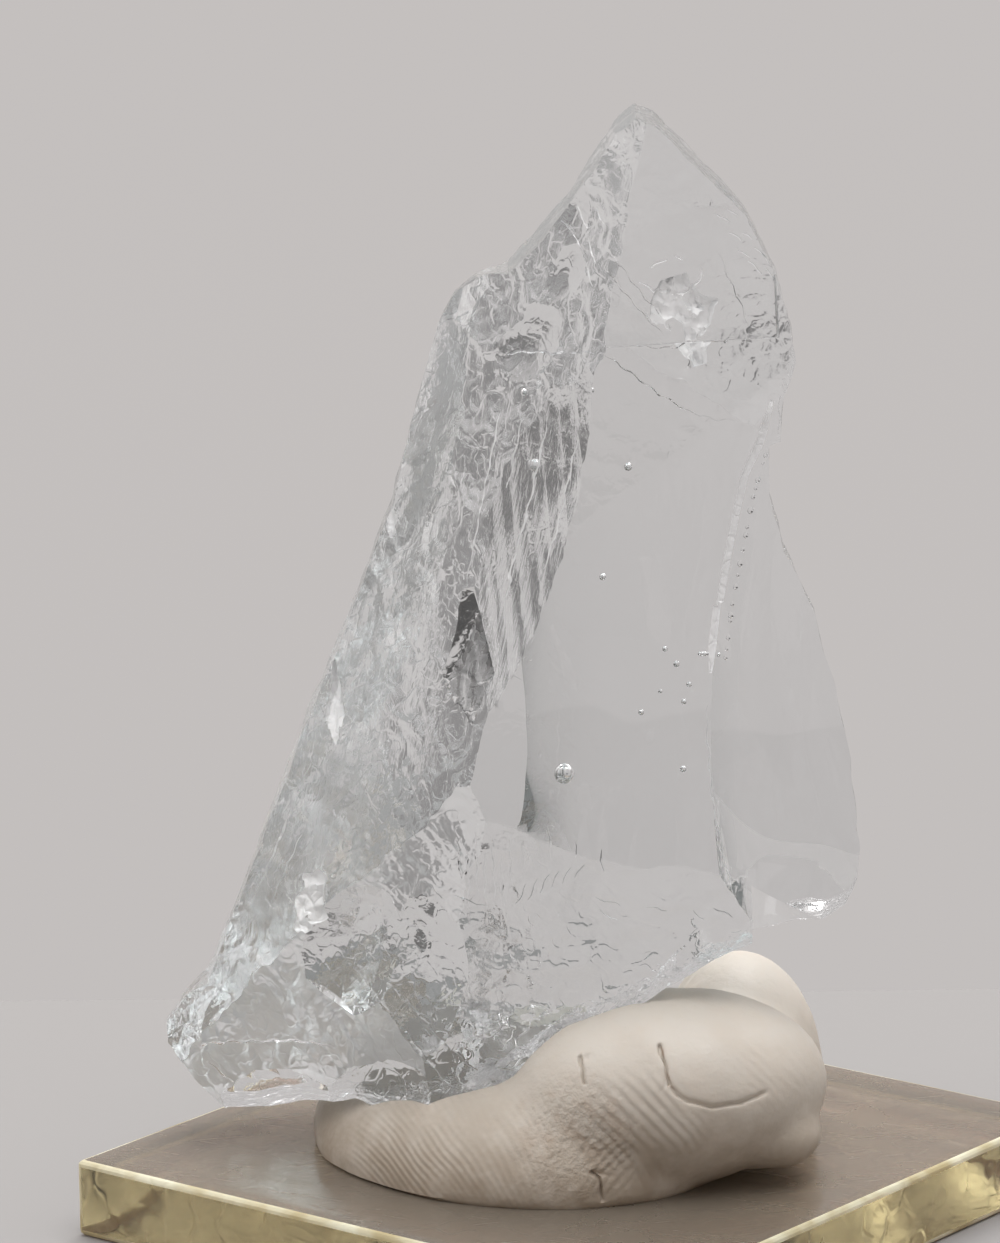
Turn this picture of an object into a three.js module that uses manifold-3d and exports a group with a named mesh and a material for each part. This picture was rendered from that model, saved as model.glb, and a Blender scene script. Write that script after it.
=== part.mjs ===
// A clear glass rock (andara crystal) on a desk display stand: the rock leans in a pressed lump of
// white modelling putty, and the lump sits on a square plate of yellowed clear acrylic.
// Millimetres, +Z up. The origin is the middle of the plate's underside, and -Y is the rock's show side.

import * as THREE from "three";
import { mergeVertices } from "three/addons/utils/BufferGeometryUtils.js";
import Module from "manifold-3d";

const wasm = await Module();
wasm.setup();

// ---------------------------------------------------------------- driving dimensions

const PLATE_SIDE = 50.8; // a two-inch square
const PLATE_THICK = 5.6; // quarter-inch sheet, as sold
const PLATE_EDGE = 0.35; // the polished break of each edge
const PLATE_TURN = 51.7; // degrees, from the rock's broad side

const ROCK_DEPTH = [-19, 17]; // front and back of the raw block that the rock is broken from
const COARSE = 5; // pitch of a fracture face that is smooth
const FINE = 1.7; // pitch of one that is rippled or hackled
const WHOLE = [60, 60, 60, 60]; // a reach that passes the rock on every side
const BEYOND = 40; // how far outwards a fracture goes, unless it says
const SEAT_GAP = 0.3; // between the rock and the putty that was pressed round it

// The rock's outline from the front, as x and z, clockwise from its top.
const OUTLINE = [
  [5, 80.8], [6.4, 80.3], [10.4, 76.4], [12.7, 73.8], [14.8, 69.4], [15.7, 66.3], [16, 63.8],
  [15.2, 61], [15, 58.1], [14.2, 57.9], [14.2, 54.4], [15.3, 50.2], [17.4, 45.4], [18.9, 39.8],
  [20, 34.6], [20.5, 28.6], [20.3, 26.4], [19.4, 24.8], [17.4, 24], [16, 24.1], [13, 23.3], [9, 21.3],
  [5.5, 19], [1.2, 16], [-3, 12.8], [-6.6, 10.6], [-9.5, 9.8], [-12.3, 9.8], [-15.5, 10.7],
  [-18.7, 10.1], [-22.1, 9], [-25, 8.7], [-27, 10.2], [-29.2, 12.6], [-29.3, 14.1], [-28.1, 16],
  [-26.3, 17.6], [-24.6, 21.8], [-21.4, 30.2], [-18.1, 38.3], [-15.3, 45], [-12.6, 52], [-10.3, 60.5],
  [-9, 65.2], [-7.7, 67.2], [-6, 68.6], [-4, 69.1], [-2.2, 71.1], [0.6, 74.8], [3.6, 79.6],
];

// ---------------------------------------------------------------- small maths

const radians = THREE.MathUtils.degToRad;

// A unit vector: azimuth 0 looks at the viewer (-Y) and 90 to the right (+X); elevation is above level.
function facing(azimuth, elevation) {
  const a = radians(azimuth);
  const e = radians(elevation);
  return new THREE.Vector3(Math.sin(a) * Math.cos(e), -Math.cos(a) * Math.cos(e), Math.sin(e));
}

// A number from 0 to 1 that looks random and is always the same for a pair of whole numbers.
function scatter(i, j) {
  const s = Math.sin(127.1 * i + 311.7 * j) * 43758.5453;
  return s - Math.floor(s);
}

// Sharp crests with round troughs between them, from 0 to 1, one for each unit of t.
const crest = (t) => 1 - Math.abs(Math.sin(Math.PI * t));

// Small hollows side by side, about one for each unit of s and t, with sharp ridges where they meet.
function flakes(s, t) {
  let h = Infinity;
  for (let i = Math.floor(s) - 1; i <= Math.floor(s) + 1; i++) {
    for (let j = Math.floor(t) - 1; j <= Math.floor(t) + 1; j++) {
      const ds = s - i - scatter(i, j);
      const dt = t - j - scatter(j + 57, i);
      h = Math.min(h, ds * ds + dt * dt + 0.6 * scatter(i + 91, j + 17));
    }
  }
  return h;
}

// A closed three.js geometry as a solid for cutting and joining, and back again.
function solidOf(geometry) {
  let merged = geometry;
  if (geometry.attributes.normal) {
    const bare = geometry.clone();
    bare.deleteAttribute("normal");
    bare.deleteAttribute("uv");
    merged = mergeVertices(bare, 1e-4);
  }
  return new wasm.Manifold(
    new wasm.Mesh({
      numProp: 3,
      vertProperties: new Float32Array(merged.attributes.position.array),
      triVerts: new Uint32Array(merged.index.array),
    }),
  );
}

function geometryOf(solid) {
  const { vertProperties, triVerts } = solid.getMesh();
  return new THREE.BufferGeometry()
    .setAttribute("position", new THREE.BufferAttribute(vertProperties, 3))
    .setIndex(new THREE.BufferAttribute(triVerts, 1));
}

// ---------------------------------------------------------------- fracture faces

// One fracture: a curved sheet, solid on its outer side, that is taken off the rock.
// at      a point on the face, the deepest one where it is a dish
// face    [azimuth, elevation] of its outward normal, in degrees
// turn    how far its own across and up are turned round that normal
// curve   its radius across and up the face: positive is a hollow dish, negative a swell
// reach   how far the sheet goes from at: [left, right, down, up]
// thick   how far it goes outwards
// pitch   the size of its facets
// ribs    {height, spacing, from: [u, v]}: shell-like waves round a point of the face
// flutes  {height, spacing}: fine grooves that run up the face
// hackle  {height, size: [across, up]}: broken flakes
function relief(f, u, v) {
  const [across, up] = f.curve ?? [Infinity, Infinity];
  let h = (u * u) / (2 * across) + (v * v) / (2 * up);
  if (f.ribs) {
    const { height, spacing, from } = f.ribs;
    const r = Math.hypot(u - from[0], v - from[1]);
    h += height * crest(r / spacing + 0.12 * Math.sin(0.5 * u + 0.31 * v));
  }
  if (f.flutes) {
    const { height, spacing } = f.flutes;
    h += height * crest(u / spacing + 0.3 * Math.sin(0.23 * v));
  }
  if (f.hackle) {
    const { height, size } = f.hackle;
    const s = u / size[0] + 0.3 * Math.sin((1.1 * v) / size[1]);
    const t = v / size[1] + 0.3 * Math.sin((0.9 * u) / size[0] + 2);
    h += height * flakes(s, t);
  }
  return h;
}

// The directions across the face, up it and out of it.
function axesOf(f) {
  const out = facing(...f.face);
  const across = new THREE.Vector3(Math.cos(radians(f.face[0])), Math.sin(radians(f.face[0])), 0);
  across.applyAxisAngle(out, radians(f.turn ?? 0));
  return { across, up: out.clone().cross(across), out };
}

function sheet(f) {
  const [left, right, down, up] = f.reach ?? WHOLE;
  const pitch = f.pitch ?? (f.ribs || f.flutes || f.hackle ? FINE : COARSE);
  const thick = f.thick ?? BEYOND;
  const g = new THREE.BoxGeometry(
    left + right,
    down + up,
    thick,
    Math.max(1, Math.round((left + right) / pitch)),
    Math.max(1, Math.round((down + up) / pitch)),
    1,
  ).translate((right - left) / 2, (up - down) / 2, thick / 2);
  const p = g.attributes.position;
  for (let i = 0; i < p.count; i++) {
    const h = relief(f, p.getX(i), p.getY(i));
    p.setZ(i, p.getZ(i) < thick / 2 ? h : thick + Math.max(0, h));
  }
  const axes = axesOf(f);
  return solidOf(
    g.applyMatrix4(new THREE.Matrix4().makeBasis(axes.across, axes.up, axes.out).setPosition(...f.at)),
  );
}

// ---------------------------------------------------------------- the rock

// The large faces, which give the rock its form between front and back.
const FACES = {
  front_main: { at: [3.5, -10.1, 45], face: [7, 6], curve: [85, 140] },
  wing_front: { at: [15, -6.5, 40], face: [31, 5], curve: [40, 77], pitch: 3.5 },
  striped: {
    at: [-1.8, -10.8, 46.8], face: [-34, 21], turn: 14, curve: [20, 60], reach: [30, 30, 60, 17],
    flutes: { height: 0.16, spacing: 1.5 }, pitch: 1.4,
  },
  flank_left: {
    at: [-13.8, -6, 38], face: [-54, 17], turn: -35,
    hackle: { height: 0.5, size: [4, 6.5] },
  },
  flank_back: {
    at: [-18.1, 3.8, 38], face: [200, 7],
    ribs: { height: 0.2, spacing: 5, from: [14, 30] }, pitch: 2.4,
  },
  back_main: { at: [7.2, 0, 38], face: [156, -2], curve: [60, 200] },
  back_top: { at: [5, 1.6, 63.4], face: [163, 5], curve: [70, 140] },
  front_crown: { at: [9, -7.2, 68], face: [12, 13], turn: 25, curve: [46, 200], pitch: 4 },
  front_crown_left: {
    at: [-0.3, -3.6, 70], face: [-48, 18], turn: 30,
    hackle: { height: 0.36, size: [3, 4] },
  },
  crown_left: {
    at: [0.2, 0, 75.1], face: [-84, 44], curve: [26, 26],
    hackle: { height: 0.34, size: [3, 3] },
  },
  lower_front: {
    at: [3.3, -12, 26.6], face: [2, -9], turn: 15,
    hackle: { height: 0.34, size: [4, 3] },
  },
  lower_left: {
    at: [-13.5, -11.7, 23.3], face: [-38, 12], turn: 38,
    hackle: { height: 0.5, size: [3.4, 6] },
  },
  lower_corner: {
    at: [-7.6, -12.4, 27], face: [-30, -1], turn: 38,
    hackle: { height: 0.5, size: [3.2, 7] },
  },
};

// Scallops, slivers and ledges that are broken out of those faces.
const SCALLOPS = {
  crown_shell: {
    at: [8.2, -6.5, 68.6], face: [16, 8], turn: 25,
    curve: [12, 14], reach: [6, 6, 6, 6], pitch: 1.5,
  },
  edge_sliver: { at: [-16.2, -0.6, 46], face: [-72, 18], curve: [20, 40], reach: [4, 4, 7, 7], pitch: 2 },
  foot_dish: { at: [-21.5, -4.6, 12.6], face: [-25, -30], curve: [16, 8], reach: [9, 9, 6, 6], pitch: 2 },
  wing_lip: { at: [14.5, -9.9, 26], face: [4, -31], reach: [2, 6, 7, 4], thick: 12, pitch: 3 },
  back_shell: {
    at: [-3.2, 6.6, 31], face: [178, 4], curve: [22, 40], reach: [13, 13, 15, 17],
    ribs: { height: 0.2, spacing: 4, from: [2, 20] },
  },
  back_foot: { at: [2, 7, 18], face: [170, -16], curve: [18, 22], reach: [12, 12, 9, 9], pitch: 2.2 },
};

// Rows of small flakes off the rough faces: how many, over which stretch across and up, and how large.
const FLAKE_ROWS = {
  flank_left: { count: 9, across: [-7, 7], up: [-20, 24], radius: 8, depth: 0.9 },
  lower_corner: { count: 6, across: [-15, -1], up: [-14, 4], radius: 7, depth: 0.9 },
  front_crown_left: { count: 4, across: [-5, 5], up: [-6, 8], radius: 6, depth: 0.6 },
  flank_back: { count: 5, across: [-9, 4], up: [-18, 24], radius: 10, depth: 0.8 },
};

const FLAKE_TILT = 24; // the most that two flakes of a row differ in azimuth or elevation

function flakeRow([name, row], number) {
  const face = FACES[name];
  const { across, up, out } = axesOf(face);
  return Array.from({ length: row.count }, (_, i) => {
    const u = THREE.MathUtils.lerp(...row.across, scatter(i, number));
    const v = THREE.MathUtils.lerp(...row.up, (i + 0.5) / row.count);
    const at = new THREE.Vector3(...face.at)
      .addScaledVector(across, u)
      .addScaledVector(up, v)
      .addScaledVector(out, -row.depth * scatter(i, number + 20));
    const size = row.radius * (0.6 + 0.6 * scatter(i, number + 40));
    return {
      at: at.toArray(),
      face: [
        face.face[0] + FLAKE_TILT * (scatter(i, number + 60) - 0.5),
        face.face[1] + FLAKE_TILT * (scatter(i, number + 80) - 0.5),
      ],
      turn: 180 * scatter(i, number + 100),
      curve: [size, 2 * size],
      reach: [size, size, 1.4 * size, 1.4 * size],
      pitch: FINE,
    };
  });
}

function breakOff(rock, f) {
  const broken = rock.subtract(sheet(f));
  return broken.decompose().sort((a, b) => b.volume() - a.volume())[0];
}

function rockSolid() {
  const outline = new THREE.Shape(OUTLINE.map(([x, z]) => new THREE.Vector2(x, z)));
  const [front, back] = ROCK_DEPTH;
  const block = new THREE.ExtrudeGeometry(outline, { depth: back - front, bevelEnabled: false })
    .rotateX(Math.PI / 2)
    .translate(0, back, 0);
  const flakes = Object.entries(FLAKE_ROWS).flatMap(flakeRow);
  return [...Object.values(FACES), ...Object.values(SCALLOPS), ...flakes].reduce(breakOff, solidOf(block));
}

// ---------------------------------------------------------------- the stand

function plateGeometry() {
  const flat = PLATE_SIDE / 2 - PLATE_EDGE;
  const outline = new THREE.Shape();
  outline.moveTo(-flat, -flat).lineTo(flat, -flat).lineTo(flat, flat).lineTo(-flat, flat).closePath();
  return new THREE.ExtrudeGeometry(outline, {
    depth: PLATE_THICK - 2 * PLATE_EDGE,
    bevelThickness: PLATE_EDGE,
    bevelSize: PLATE_EDGE,
    bevelSegments: 2,
  }).translate(0, 0, PLATE_EDGE);
}

// The putty is pressed together from a few soft lumps: their middles, radii and turns round Z.
const LUMPS = {
  body: { at: [-4.1, -2.8, 6.5], radii: [15.8, 12.8, 7.6], turn: -41 },
  front_roll: { at: [7, -9.2, 12.3], radii: [11, 7.4, 6.8], turn: 8 },
  right_fold: { at: [12, 0.5, 10.5], radii: [6, 7.2, 8.5], turn: 10 },
  curl: { at: [14.4, -10.4, 8.9], radii: [2.9, 3.2, 2.3], turn: 20 },
  back_roll: { at: [-2, 8, 8], radii: [12.5, 5.5, 7], turn: -6 },
};
const LUMP_MIDDLE = new THREE.Vector3(1, -2, 7);
const LUMP_BLEND = 0.07; // how softly the lumps run into each other, as a share of their radii
const LUMP_FACETS = [48, 30]; // round the putty and from its top to its bottom
const HALVINGS = 30; // enough to find the putty's surface within a thousandth
const SEAT_PUSHES = [[0, 0, 0], [0, 0, -1], [1, 0, 0], [-1, 0, 0], [0, 1, 0], [0, -1, 0]];
const UPWARDS = new THREE.Vector3(0, 0, 1);

// Below 0 inside the putty and above 0 outside it.
function puttyField(p) {
  const sum = Object.values(LUMPS).reduce((total, { at, radii, turn }) => {
    const q = p.clone().sub(new THREE.Vector3(...at)).applyAxisAngle(UPWARDS, -radians(turn));
    return total + Math.exp((1 - q.divide(new THREE.Vector3(...radii)).length()) / LUMP_BLEND);
  }, 0);
  return -LUMP_BLEND * Math.log(sum);
}

// How far the putty reaches from its middle in one direction, by halving.
function puttyReach(direction) {
  let [inside, outside] = [0, PLATE_SIDE];
  for (let i = 0; i < HALVINGS; i++) {
    const r = (inside + outside) / 2;
    if (puttyField(LUMP_MIDDLE.clone().addScaledVector(direction, r)) < 0) inside = r;
    else outside = r;
  }
  return inside;
}

function claySolid(rock) {
  const lump = new THREE.SphereGeometry(1, ...LUMP_FACETS).rotateX(Math.PI / 2);
  const p = lump.attributes.position;
  for (let i = 0; i < p.count; i++) {
    const direction = new THREE.Vector3().fromBufferAttribute(p, i).normalize();
    const surface = LUMP_MIDDLE.clone().addScaledVector(direction, puttyReach(direction));
    p.setXYZ(i, surface.x, surface.y, surface.z);
  }
  const below = new THREE.BoxGeometry(PLATE_SIDE, PLATE_SIDE, PLATE_SIDE);
  below.translate(0, 0, PLATE_THICK - PLATE_SIDE / 2);
  const seated = SEAT_PUSHES.reduce(
    (clay, push) => clay.subtract(solidOf(geometryOf(rock).translate(...push.map((d) => d * SEAT_GAP)))),
    solidOf(lump).subtract(solidOf(below)),
  );
  return seated.decompose().sort((a, b) => b.volume() - a.volume())[0];
}

// ---------------------------------------------------------------- the object

const glass = new THREE.MeshStandardMaterial({ color: 0xe9efee, roughness: 0.02, metalness: 0 });
const putty = new THREE.MeshStandardMaterial({ color: 0xdfd5c9, roughness: 0.7, metalness: 0 });
const acrylic = new THREE.MeshStandardMaterial({ color: 0xe6d9a0, roughness: 0.08, metalness: 0 });

const display = new THREE.Group();
display.name = "andara_crystal_display";

const plate = new THREE.Mesh(plateGeometry(), acrylic);
plate.name = "base_plate";
plate.rotation.z = radians(PLATE_TURN);

const rock = rockSolid();
const crystal = new THREE.Mesh(geometryOf(rock), glass);
crystal.name = "crystal";

const clay = new THREE.Mesh(geometryOf(claySolid(rock)), putty);
clay.name = "clay_rest";

display.add(plate, clay, crystal);

export default display;
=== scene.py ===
"""The looks of a clear crystal on its display rest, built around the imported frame.

The crystal is a piece of glassy rock, so it is made the way the rock was: a raw block, from which one
curved fracture after another is broken off. The putty is a few soft lumps pressed together, with
finger ridges and creases, and the plate is a square of aged clear acrylic.
Shapes are worked out in millimetres and placed in the frame's metres.
"""

import math

import bmesh
import bpy
import numpy as np
from bpy.props import FloatProperty, FloatVectorProperty, PointerProperty
from mathutils import Matrix, Quaternion, Vector
from mathutils.bvhtree import BVHTree


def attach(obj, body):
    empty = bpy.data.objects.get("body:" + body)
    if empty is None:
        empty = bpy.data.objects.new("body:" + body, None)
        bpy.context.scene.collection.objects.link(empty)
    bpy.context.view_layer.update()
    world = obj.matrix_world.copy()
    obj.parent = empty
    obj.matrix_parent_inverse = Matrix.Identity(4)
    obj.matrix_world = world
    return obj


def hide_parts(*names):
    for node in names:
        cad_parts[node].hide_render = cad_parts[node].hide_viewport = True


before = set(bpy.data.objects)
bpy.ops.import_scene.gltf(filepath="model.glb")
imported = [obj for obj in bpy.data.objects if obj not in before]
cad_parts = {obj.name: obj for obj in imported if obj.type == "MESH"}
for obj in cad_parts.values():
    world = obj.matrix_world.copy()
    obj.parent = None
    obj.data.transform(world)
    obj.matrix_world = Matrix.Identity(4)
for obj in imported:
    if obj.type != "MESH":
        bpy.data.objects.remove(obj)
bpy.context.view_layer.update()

bl_info = {
    "name": "Crystal on a display rest",
    "version": (1, 0, 0),
    "blender": (4, 5, 0),
    "location": "3D View > Sidebar > Crystal",
    "description": "Builds a clear glassy crystal in a lump of putty on an acrylic plate",
    "category": "Object",
}

MM = 0.001
BODY = "root"

# ---------------------------------------------------------------- small maths

WAVE_WAYS = 5  # how many directions waves run in
WAVE_TURN = 2.4  # radians from one of them to the next


def facing(azimuth, elevation):
    """A unit vector: azimuth 0 looks at the viewer (-Y), 90 to the right; elevation is above level."""
    a, e = math.radians(azimuth), math.radians(elevation)
    return Vector((math.sin(a) * math.cos(e), -math.cos(a) * math.cos(e), math.sin(e)))


def scatter(i, j):
    """A number from 0 to 1 that looks random and is always the same for a pair of whole numbers."""
    s = np.sin(127.1 * i + 311.7 * j) * 43758.5453
    return s - np.floor(s)


def crest(t):
    """Sharp crests with round troughs between them, from 0 to 1, one for each unit of t."""
    return 1 - np.abs(np.sin(np.pi * t))


def flakes(s, t):
    """Small hollows side by side, about one for each unit of s and t, with sharp ridges between them."""
    h = np.full(np.shape(s), np.inf)
    for di in (-1, 0, 1):
        for dj in (-1, 0, 1):
            i, j = np.floor(s) + di, np.floor(t) + dj
            ds = s - i - scatter(i, j)
            dt = t - j - scatter(j + 57, i)
            h = np.minimum(h, ds * ds + dt * dt + 0.6 * scatter(i + 91, j + 17))
    return h


def waves(u, v, length):
    """Gentle waves from -1 to 1 that run in several directions, about one for each length."""
    total = 0
    for k in range(WAVE_WAYS):
        angle = WAVE_TURN * k
        stretch = 2 * math.pi / length * (0.7 + 0.15 * k)
        total = total + np.sin(stretch * (u * math.cos(angle) + v * math.sin(angle)) + 1.7 * k)
    return total / WAVE_WAYS


# ---------------------------------------------------------------- the fractures, in millimetres

# The outline from the front, as x and z, clockwise from the top.
OUTLINE = [
    (5, 80.8), (6.4, 80.3), (10.4, 76.4), (12.7, 73.8), (14.8, 69.4), (15.7, 66.3), (16, 63.8),
    (15.2, 61), (15, 58.1), (14.2, 57.9), (14.2, 54.4), (15.3, 50.2), (17.4, 45.4), (18.9, 39.8),
    (20, 34.6), (20.5, 28.6), (20.3, 26.4), (19.4, 24.8), (17.4, 24), (16, 24.1), (13, 23.3),
    (9, 21.3), (5.5, 19), (1.2, 16), (-3, 12.8), (-6.6, 10.6), (-9.5, 9.8), (-12.3, 9.8),
    (-15.5, 10.7), (-18.7, 10.1), (-22.1, 9), (-25, 8.7), (-27, 10.2), (-29.2, 12.6),
    (-29.3, 14.1), (-28.1, 16), (-26.3, 17.6), (-24.6, 21.8), (-21.4, 30.2), (-18.1, 38.3),
    (-15.3, 45), (-12.6, 52), (-10.3, 60.5), (-9, 65.2), (-7.7, 67.2), (-6, 68.6), (-4, 69.1),
    (-2.2, 71.1), (0.6, 74.8), (3.6, 79.6),
]
BLOCK_FRONT = -19
BLOCK_DEPTH = 36

# Each fracture is a curved sheet, solid on its outer side, that is taken off the rock.
# at      a point on the face, the deepest one where it is a dish
# face    (azimuth, elevation) of its outward normal, in degrees
# turn    how far its own across and up are turned round that normal
# curve   its radius across and up the face: positive is a hollow dish, negative a swell
# reach   how far the sheet goes from at: left, right, down, up
# thick   how far it goes outwards
# ribs    height, spacing and middle of shell-like waves round a point of the face
# flutes  height and spacing of fine grooves that run up the face
# hackle  height and size, across and up, of broken flakes, coarse ones first
# ripple  height and length of gentle waves
# rings   height of the shell-like lines in each coarse flake, and how many
# lens    half width and half height of a pointed outline that the surface rises steeply outside
# ragged  how uneven that outline is
# grain   how rough the finest surface is, from 0 to 1
# streaks how strong the finest streaks along the crystal are, from 0 to 1
# glass   the glass of its faces, where that doesn't go by the grain
FACES = {
    "front_main": {"at": (3.5, -10.1, 45), "face": (7, 6), "curve": (85, 140), "ripple": (0.02, 9)},
    "wing_front": {"at": (15, -6.5, 40), "face": (31, 5), "curve": (40, 77), "ripple": (0.015, 9)},
    "striped": {
        "at": (-1.8, -10.8, 46.8), "face": (-34, 21), "turn": 14, "curve": (20, 60),
        "reach": (30, 30, 60, 17), "flutes": [(0.14, 1.5), (0.05, 0.55)], "ripple": (0.08, 5),
        "grain": 0.15, "streaks": 1, "glass": "hackled_glass",
    },
    "flank_left": {
        "at": (-13.8, -6, 38), "face": (-54, 17), "turn": -35,
        "hackle": [(0.5, 4, 6.5), (0.1, 1.5, 2.1)], "rings": (0.08, 5), "grain": 0.6,
    },
    "flank_back": {
        "at": (-18.1, 3.8, 38), "face": (200, 7), "ribs": [(0.2, 5, 14, 30)],
        "hackle": [(0.08, 1.6, 3)], "grain": 0.2,
    },
    "back_main": {"at": (7.2, 0, 38), "face": (156, -2), "curve": (60, 200), "ripple": (0.05, 7)},
    "back_top": {
        "at": (5, 1.6, 63.4), "face": (163, 3), "curve": (70, 140),
        "hackle": [(0.1, 2.4, 1.9), (0.03, 0.9, 0.8)], "grain": 0.2,
    },
    "front_crown": {
        "at": (9, -7.2, 68), "face": (12, 13), "curve": (46, 200), "turn": 25,
        "hackle": [(0.14, 1.9, 1.3), (0.06, 0.7, 0.55)], "grain": 0.6,
    },
    "front_crown_left": {
        "at": (-0.3, -3.6, 70), "face": (-48, 18), "turn": 30,
        "hackle": [(0.36, 3, 4), (0.1, 1.2, 1.5)], "rings": (0.06, 4), "grain": 0.6, "streaks": 0.4,
        "glass": "dull_glass",
    },
    "crown_left": {
        "at": (0.2, 0, 75.1), "face": (-84, 44), "curve": (26, 26),
        "hackle": [(0.34, 3, 3), (0.1, 1.2, 1.2)], "rings": (0.04, 3), "grain": 0.6,
    },
    "lower_front": {
        "at": (3.3, -12, 26.6), "face": (2, -9), "turn": 15,
        "hackle": [(0.34, 4, 3), (0.1, 1.4, 1.1)], "grain": 0.45,
    },
    "lower_left": {
        "at": (-13.5, -11.7, 23.3), "face": (-38, 12), "turn": 38,
        "hackle": [(0.5, 3.4, 6), (0.1, 1.3, 2)], "rings": (0.08, 5), "grain": 0.66,
    },
    "lower_corner": {
        "at": (-7.6, -12.4, 27), "face": (-30, -1), "turn": 38,
        "hackle": [(0.5, 3.2, 7), (0.1, 1.2, 2.1)], "rings": (0.08, 5), "grain": 0.66,
    },
}

# Scallops, slivers, chips and ledges that are broken out of those faces.
SCALLOPS = {
    "crown_shell": {
        "at": (8.2, -6.5, 68.6), "face": (14, 7), "curve": (26, 60),
        "reach": (6, 6.3, 3.3, 6), "hackle": [(0.05, 1.8, 1.5)], "grain": 0.5,
    },
    "edge_sliver": {
        "at": (-16.2, -0.6, 46), "face": (-72, 18), "curve": (20, 40), "reach": (4, 4, 7, 7),
    },
    "foot_dish": {
        "at": (-21.5, -4.6, 12.6), "face": (-25, -30), "curve": (16, 8), "reach": (9, 9, 6, 6),
        "ripple": (0.08, 4),
    },
    "white_chip": {
        "at": (-18.8, -5, 24.4), "face": (-34, 22), "turn": -25, "lens": (3.6, 3),
        "reach": (3, 3, 3, 3), "hackle": [(0.5, 1.4, 1.1), (0.2, 0.6, 0.5)], "ragged": 0.4,
        "grain": 0.9,
    },
    "shell_glint": {
        "at": (7.9, -6.2, 67.4), "face": (18, 14), "turn": 12, "lens": (2.4, 3.2),
        "reach": (3, 3, 4, 2.4), "hackle": [(0.6, 0.8, 1.3), (0.25, 0.5, 0.6)], "ragged": 0.3,
        "grain": 0.9,
    },
    "feather": {
        "at": (-16.4, -1.4, 37.4), "face": (-43, 30), "turn": 18, "lens": (0.9, 3.8),
        "reach": (2, 2, 4, 4), "hackle": [(0.3, 0.5, 2.4)], "ragged": 0.12, "grain": 0.9,
    },
    "edge_glint": {
        "at": (-12.2, 0.8, 51.5), "face": (-40, 12), "turn": 18, "lens": (0.7, 1.8),
        "reach": (2, 2, 3, 3), "hackle": [(0.3, 0.5, 1.2)], "ragged": 0.4, "grain": 0.9,
    },
    "dark_shell": {
        "at": (-6.8, -9.3, 42.2), "face": (-42, 29), "turn": 14, "lens": (2.1, 5.2),
        "reach": (3, 3, 6, 6), "hackle": [(0.1, 0.8, 1.5)], "grain": 0.2,
    },
    "wing_back": {
        "at": (13.8, -2.85, 25.6), "face": (163, -10), "curve": (20, 200), "reach": (6, 6, 6, 4),
    },
    "wing_lip": {"at": (14.5, -9.9, 26), "face": (4, -31), "reach": (2, 6, 7, 4), "thick": 12},
    "back_shell": {
        "at": (-3.2, 6.6, 31), "face": (178, 4), "curve": (22, 40), "reach": (13, 13, 15, 17),
        "ribs": [(0.04, 4, 2, 20)], "grain": 0.1,
    },
    "back_foot": {
        "at": (2, 7, 18), "face": (170, -16), "curve": (18, 22), "reach": (12, 12, 9, 9),
        "ripple": (0.1, 4),
    },
}

# Rows of small flakes off the rough faces: how many, over which stretch across and up, and how large.
FLAKE_ROWS = {
    "flank_left": {"count": 9, "across": (-7, 7), "up": (-20, 24), "radius": 8, "depth": 0.9},
    "lower_corner": {"count": 6, "across": (-15, -1), "up": (-14, 4), "radius": 7, "depth": 0.9},
    "front_crown_left": {"count": 4, "across": (-5, 5), "up": (-6, 8), "radius": 6, "depth": 0.6},
    "flank_back": {"count": 5, "across": (-9, 4), "up": (-18, 24), "radius": 10, "depth": 0.8},
}
FLAKE_TILT = 24  # the most that two flakes of a row differ in azimuth or elevation
FLAKE_SIZES = (0.6, 0.6)  # a flake's radius as a share of its row's: the least, and the most that is added
FLAKE_HACKLE = [(0.1, 1.3, 1.9), (0.04, 0.6, 0.8)]
FLAKE_GRAIN = 0.6

# Gas bubbles sealed in the glass: middle and radius.
BUBBLES = [
    ((-0.9, -4, 34), 0.75), ((-2, -6, 56.5), 0.5), ((4.1, -5, 56.4), 0.3), ((2.2, -5, 48.5), 0.26),
    ((7.8, -4, 34.2), 0.24), ((4.8, -4, 38.4), 0.22), ((-2.9, -5, 61.5), 0.28), ((-1.2, -4, 61.7), 0.24),
    ((1.5, -4, 61.8), 0.2), ((6.6, -5, 43.2), 0.2), ((7.4, -4, 41.9), 0.24), ((8.3, -5, 40.6), 0.2),
    ((6.2, -4, 39.9), 0.16), ((7.9, -3, 38.9), 0.2), ((9.1, -4, 42.6), 0.16),
]

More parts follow.
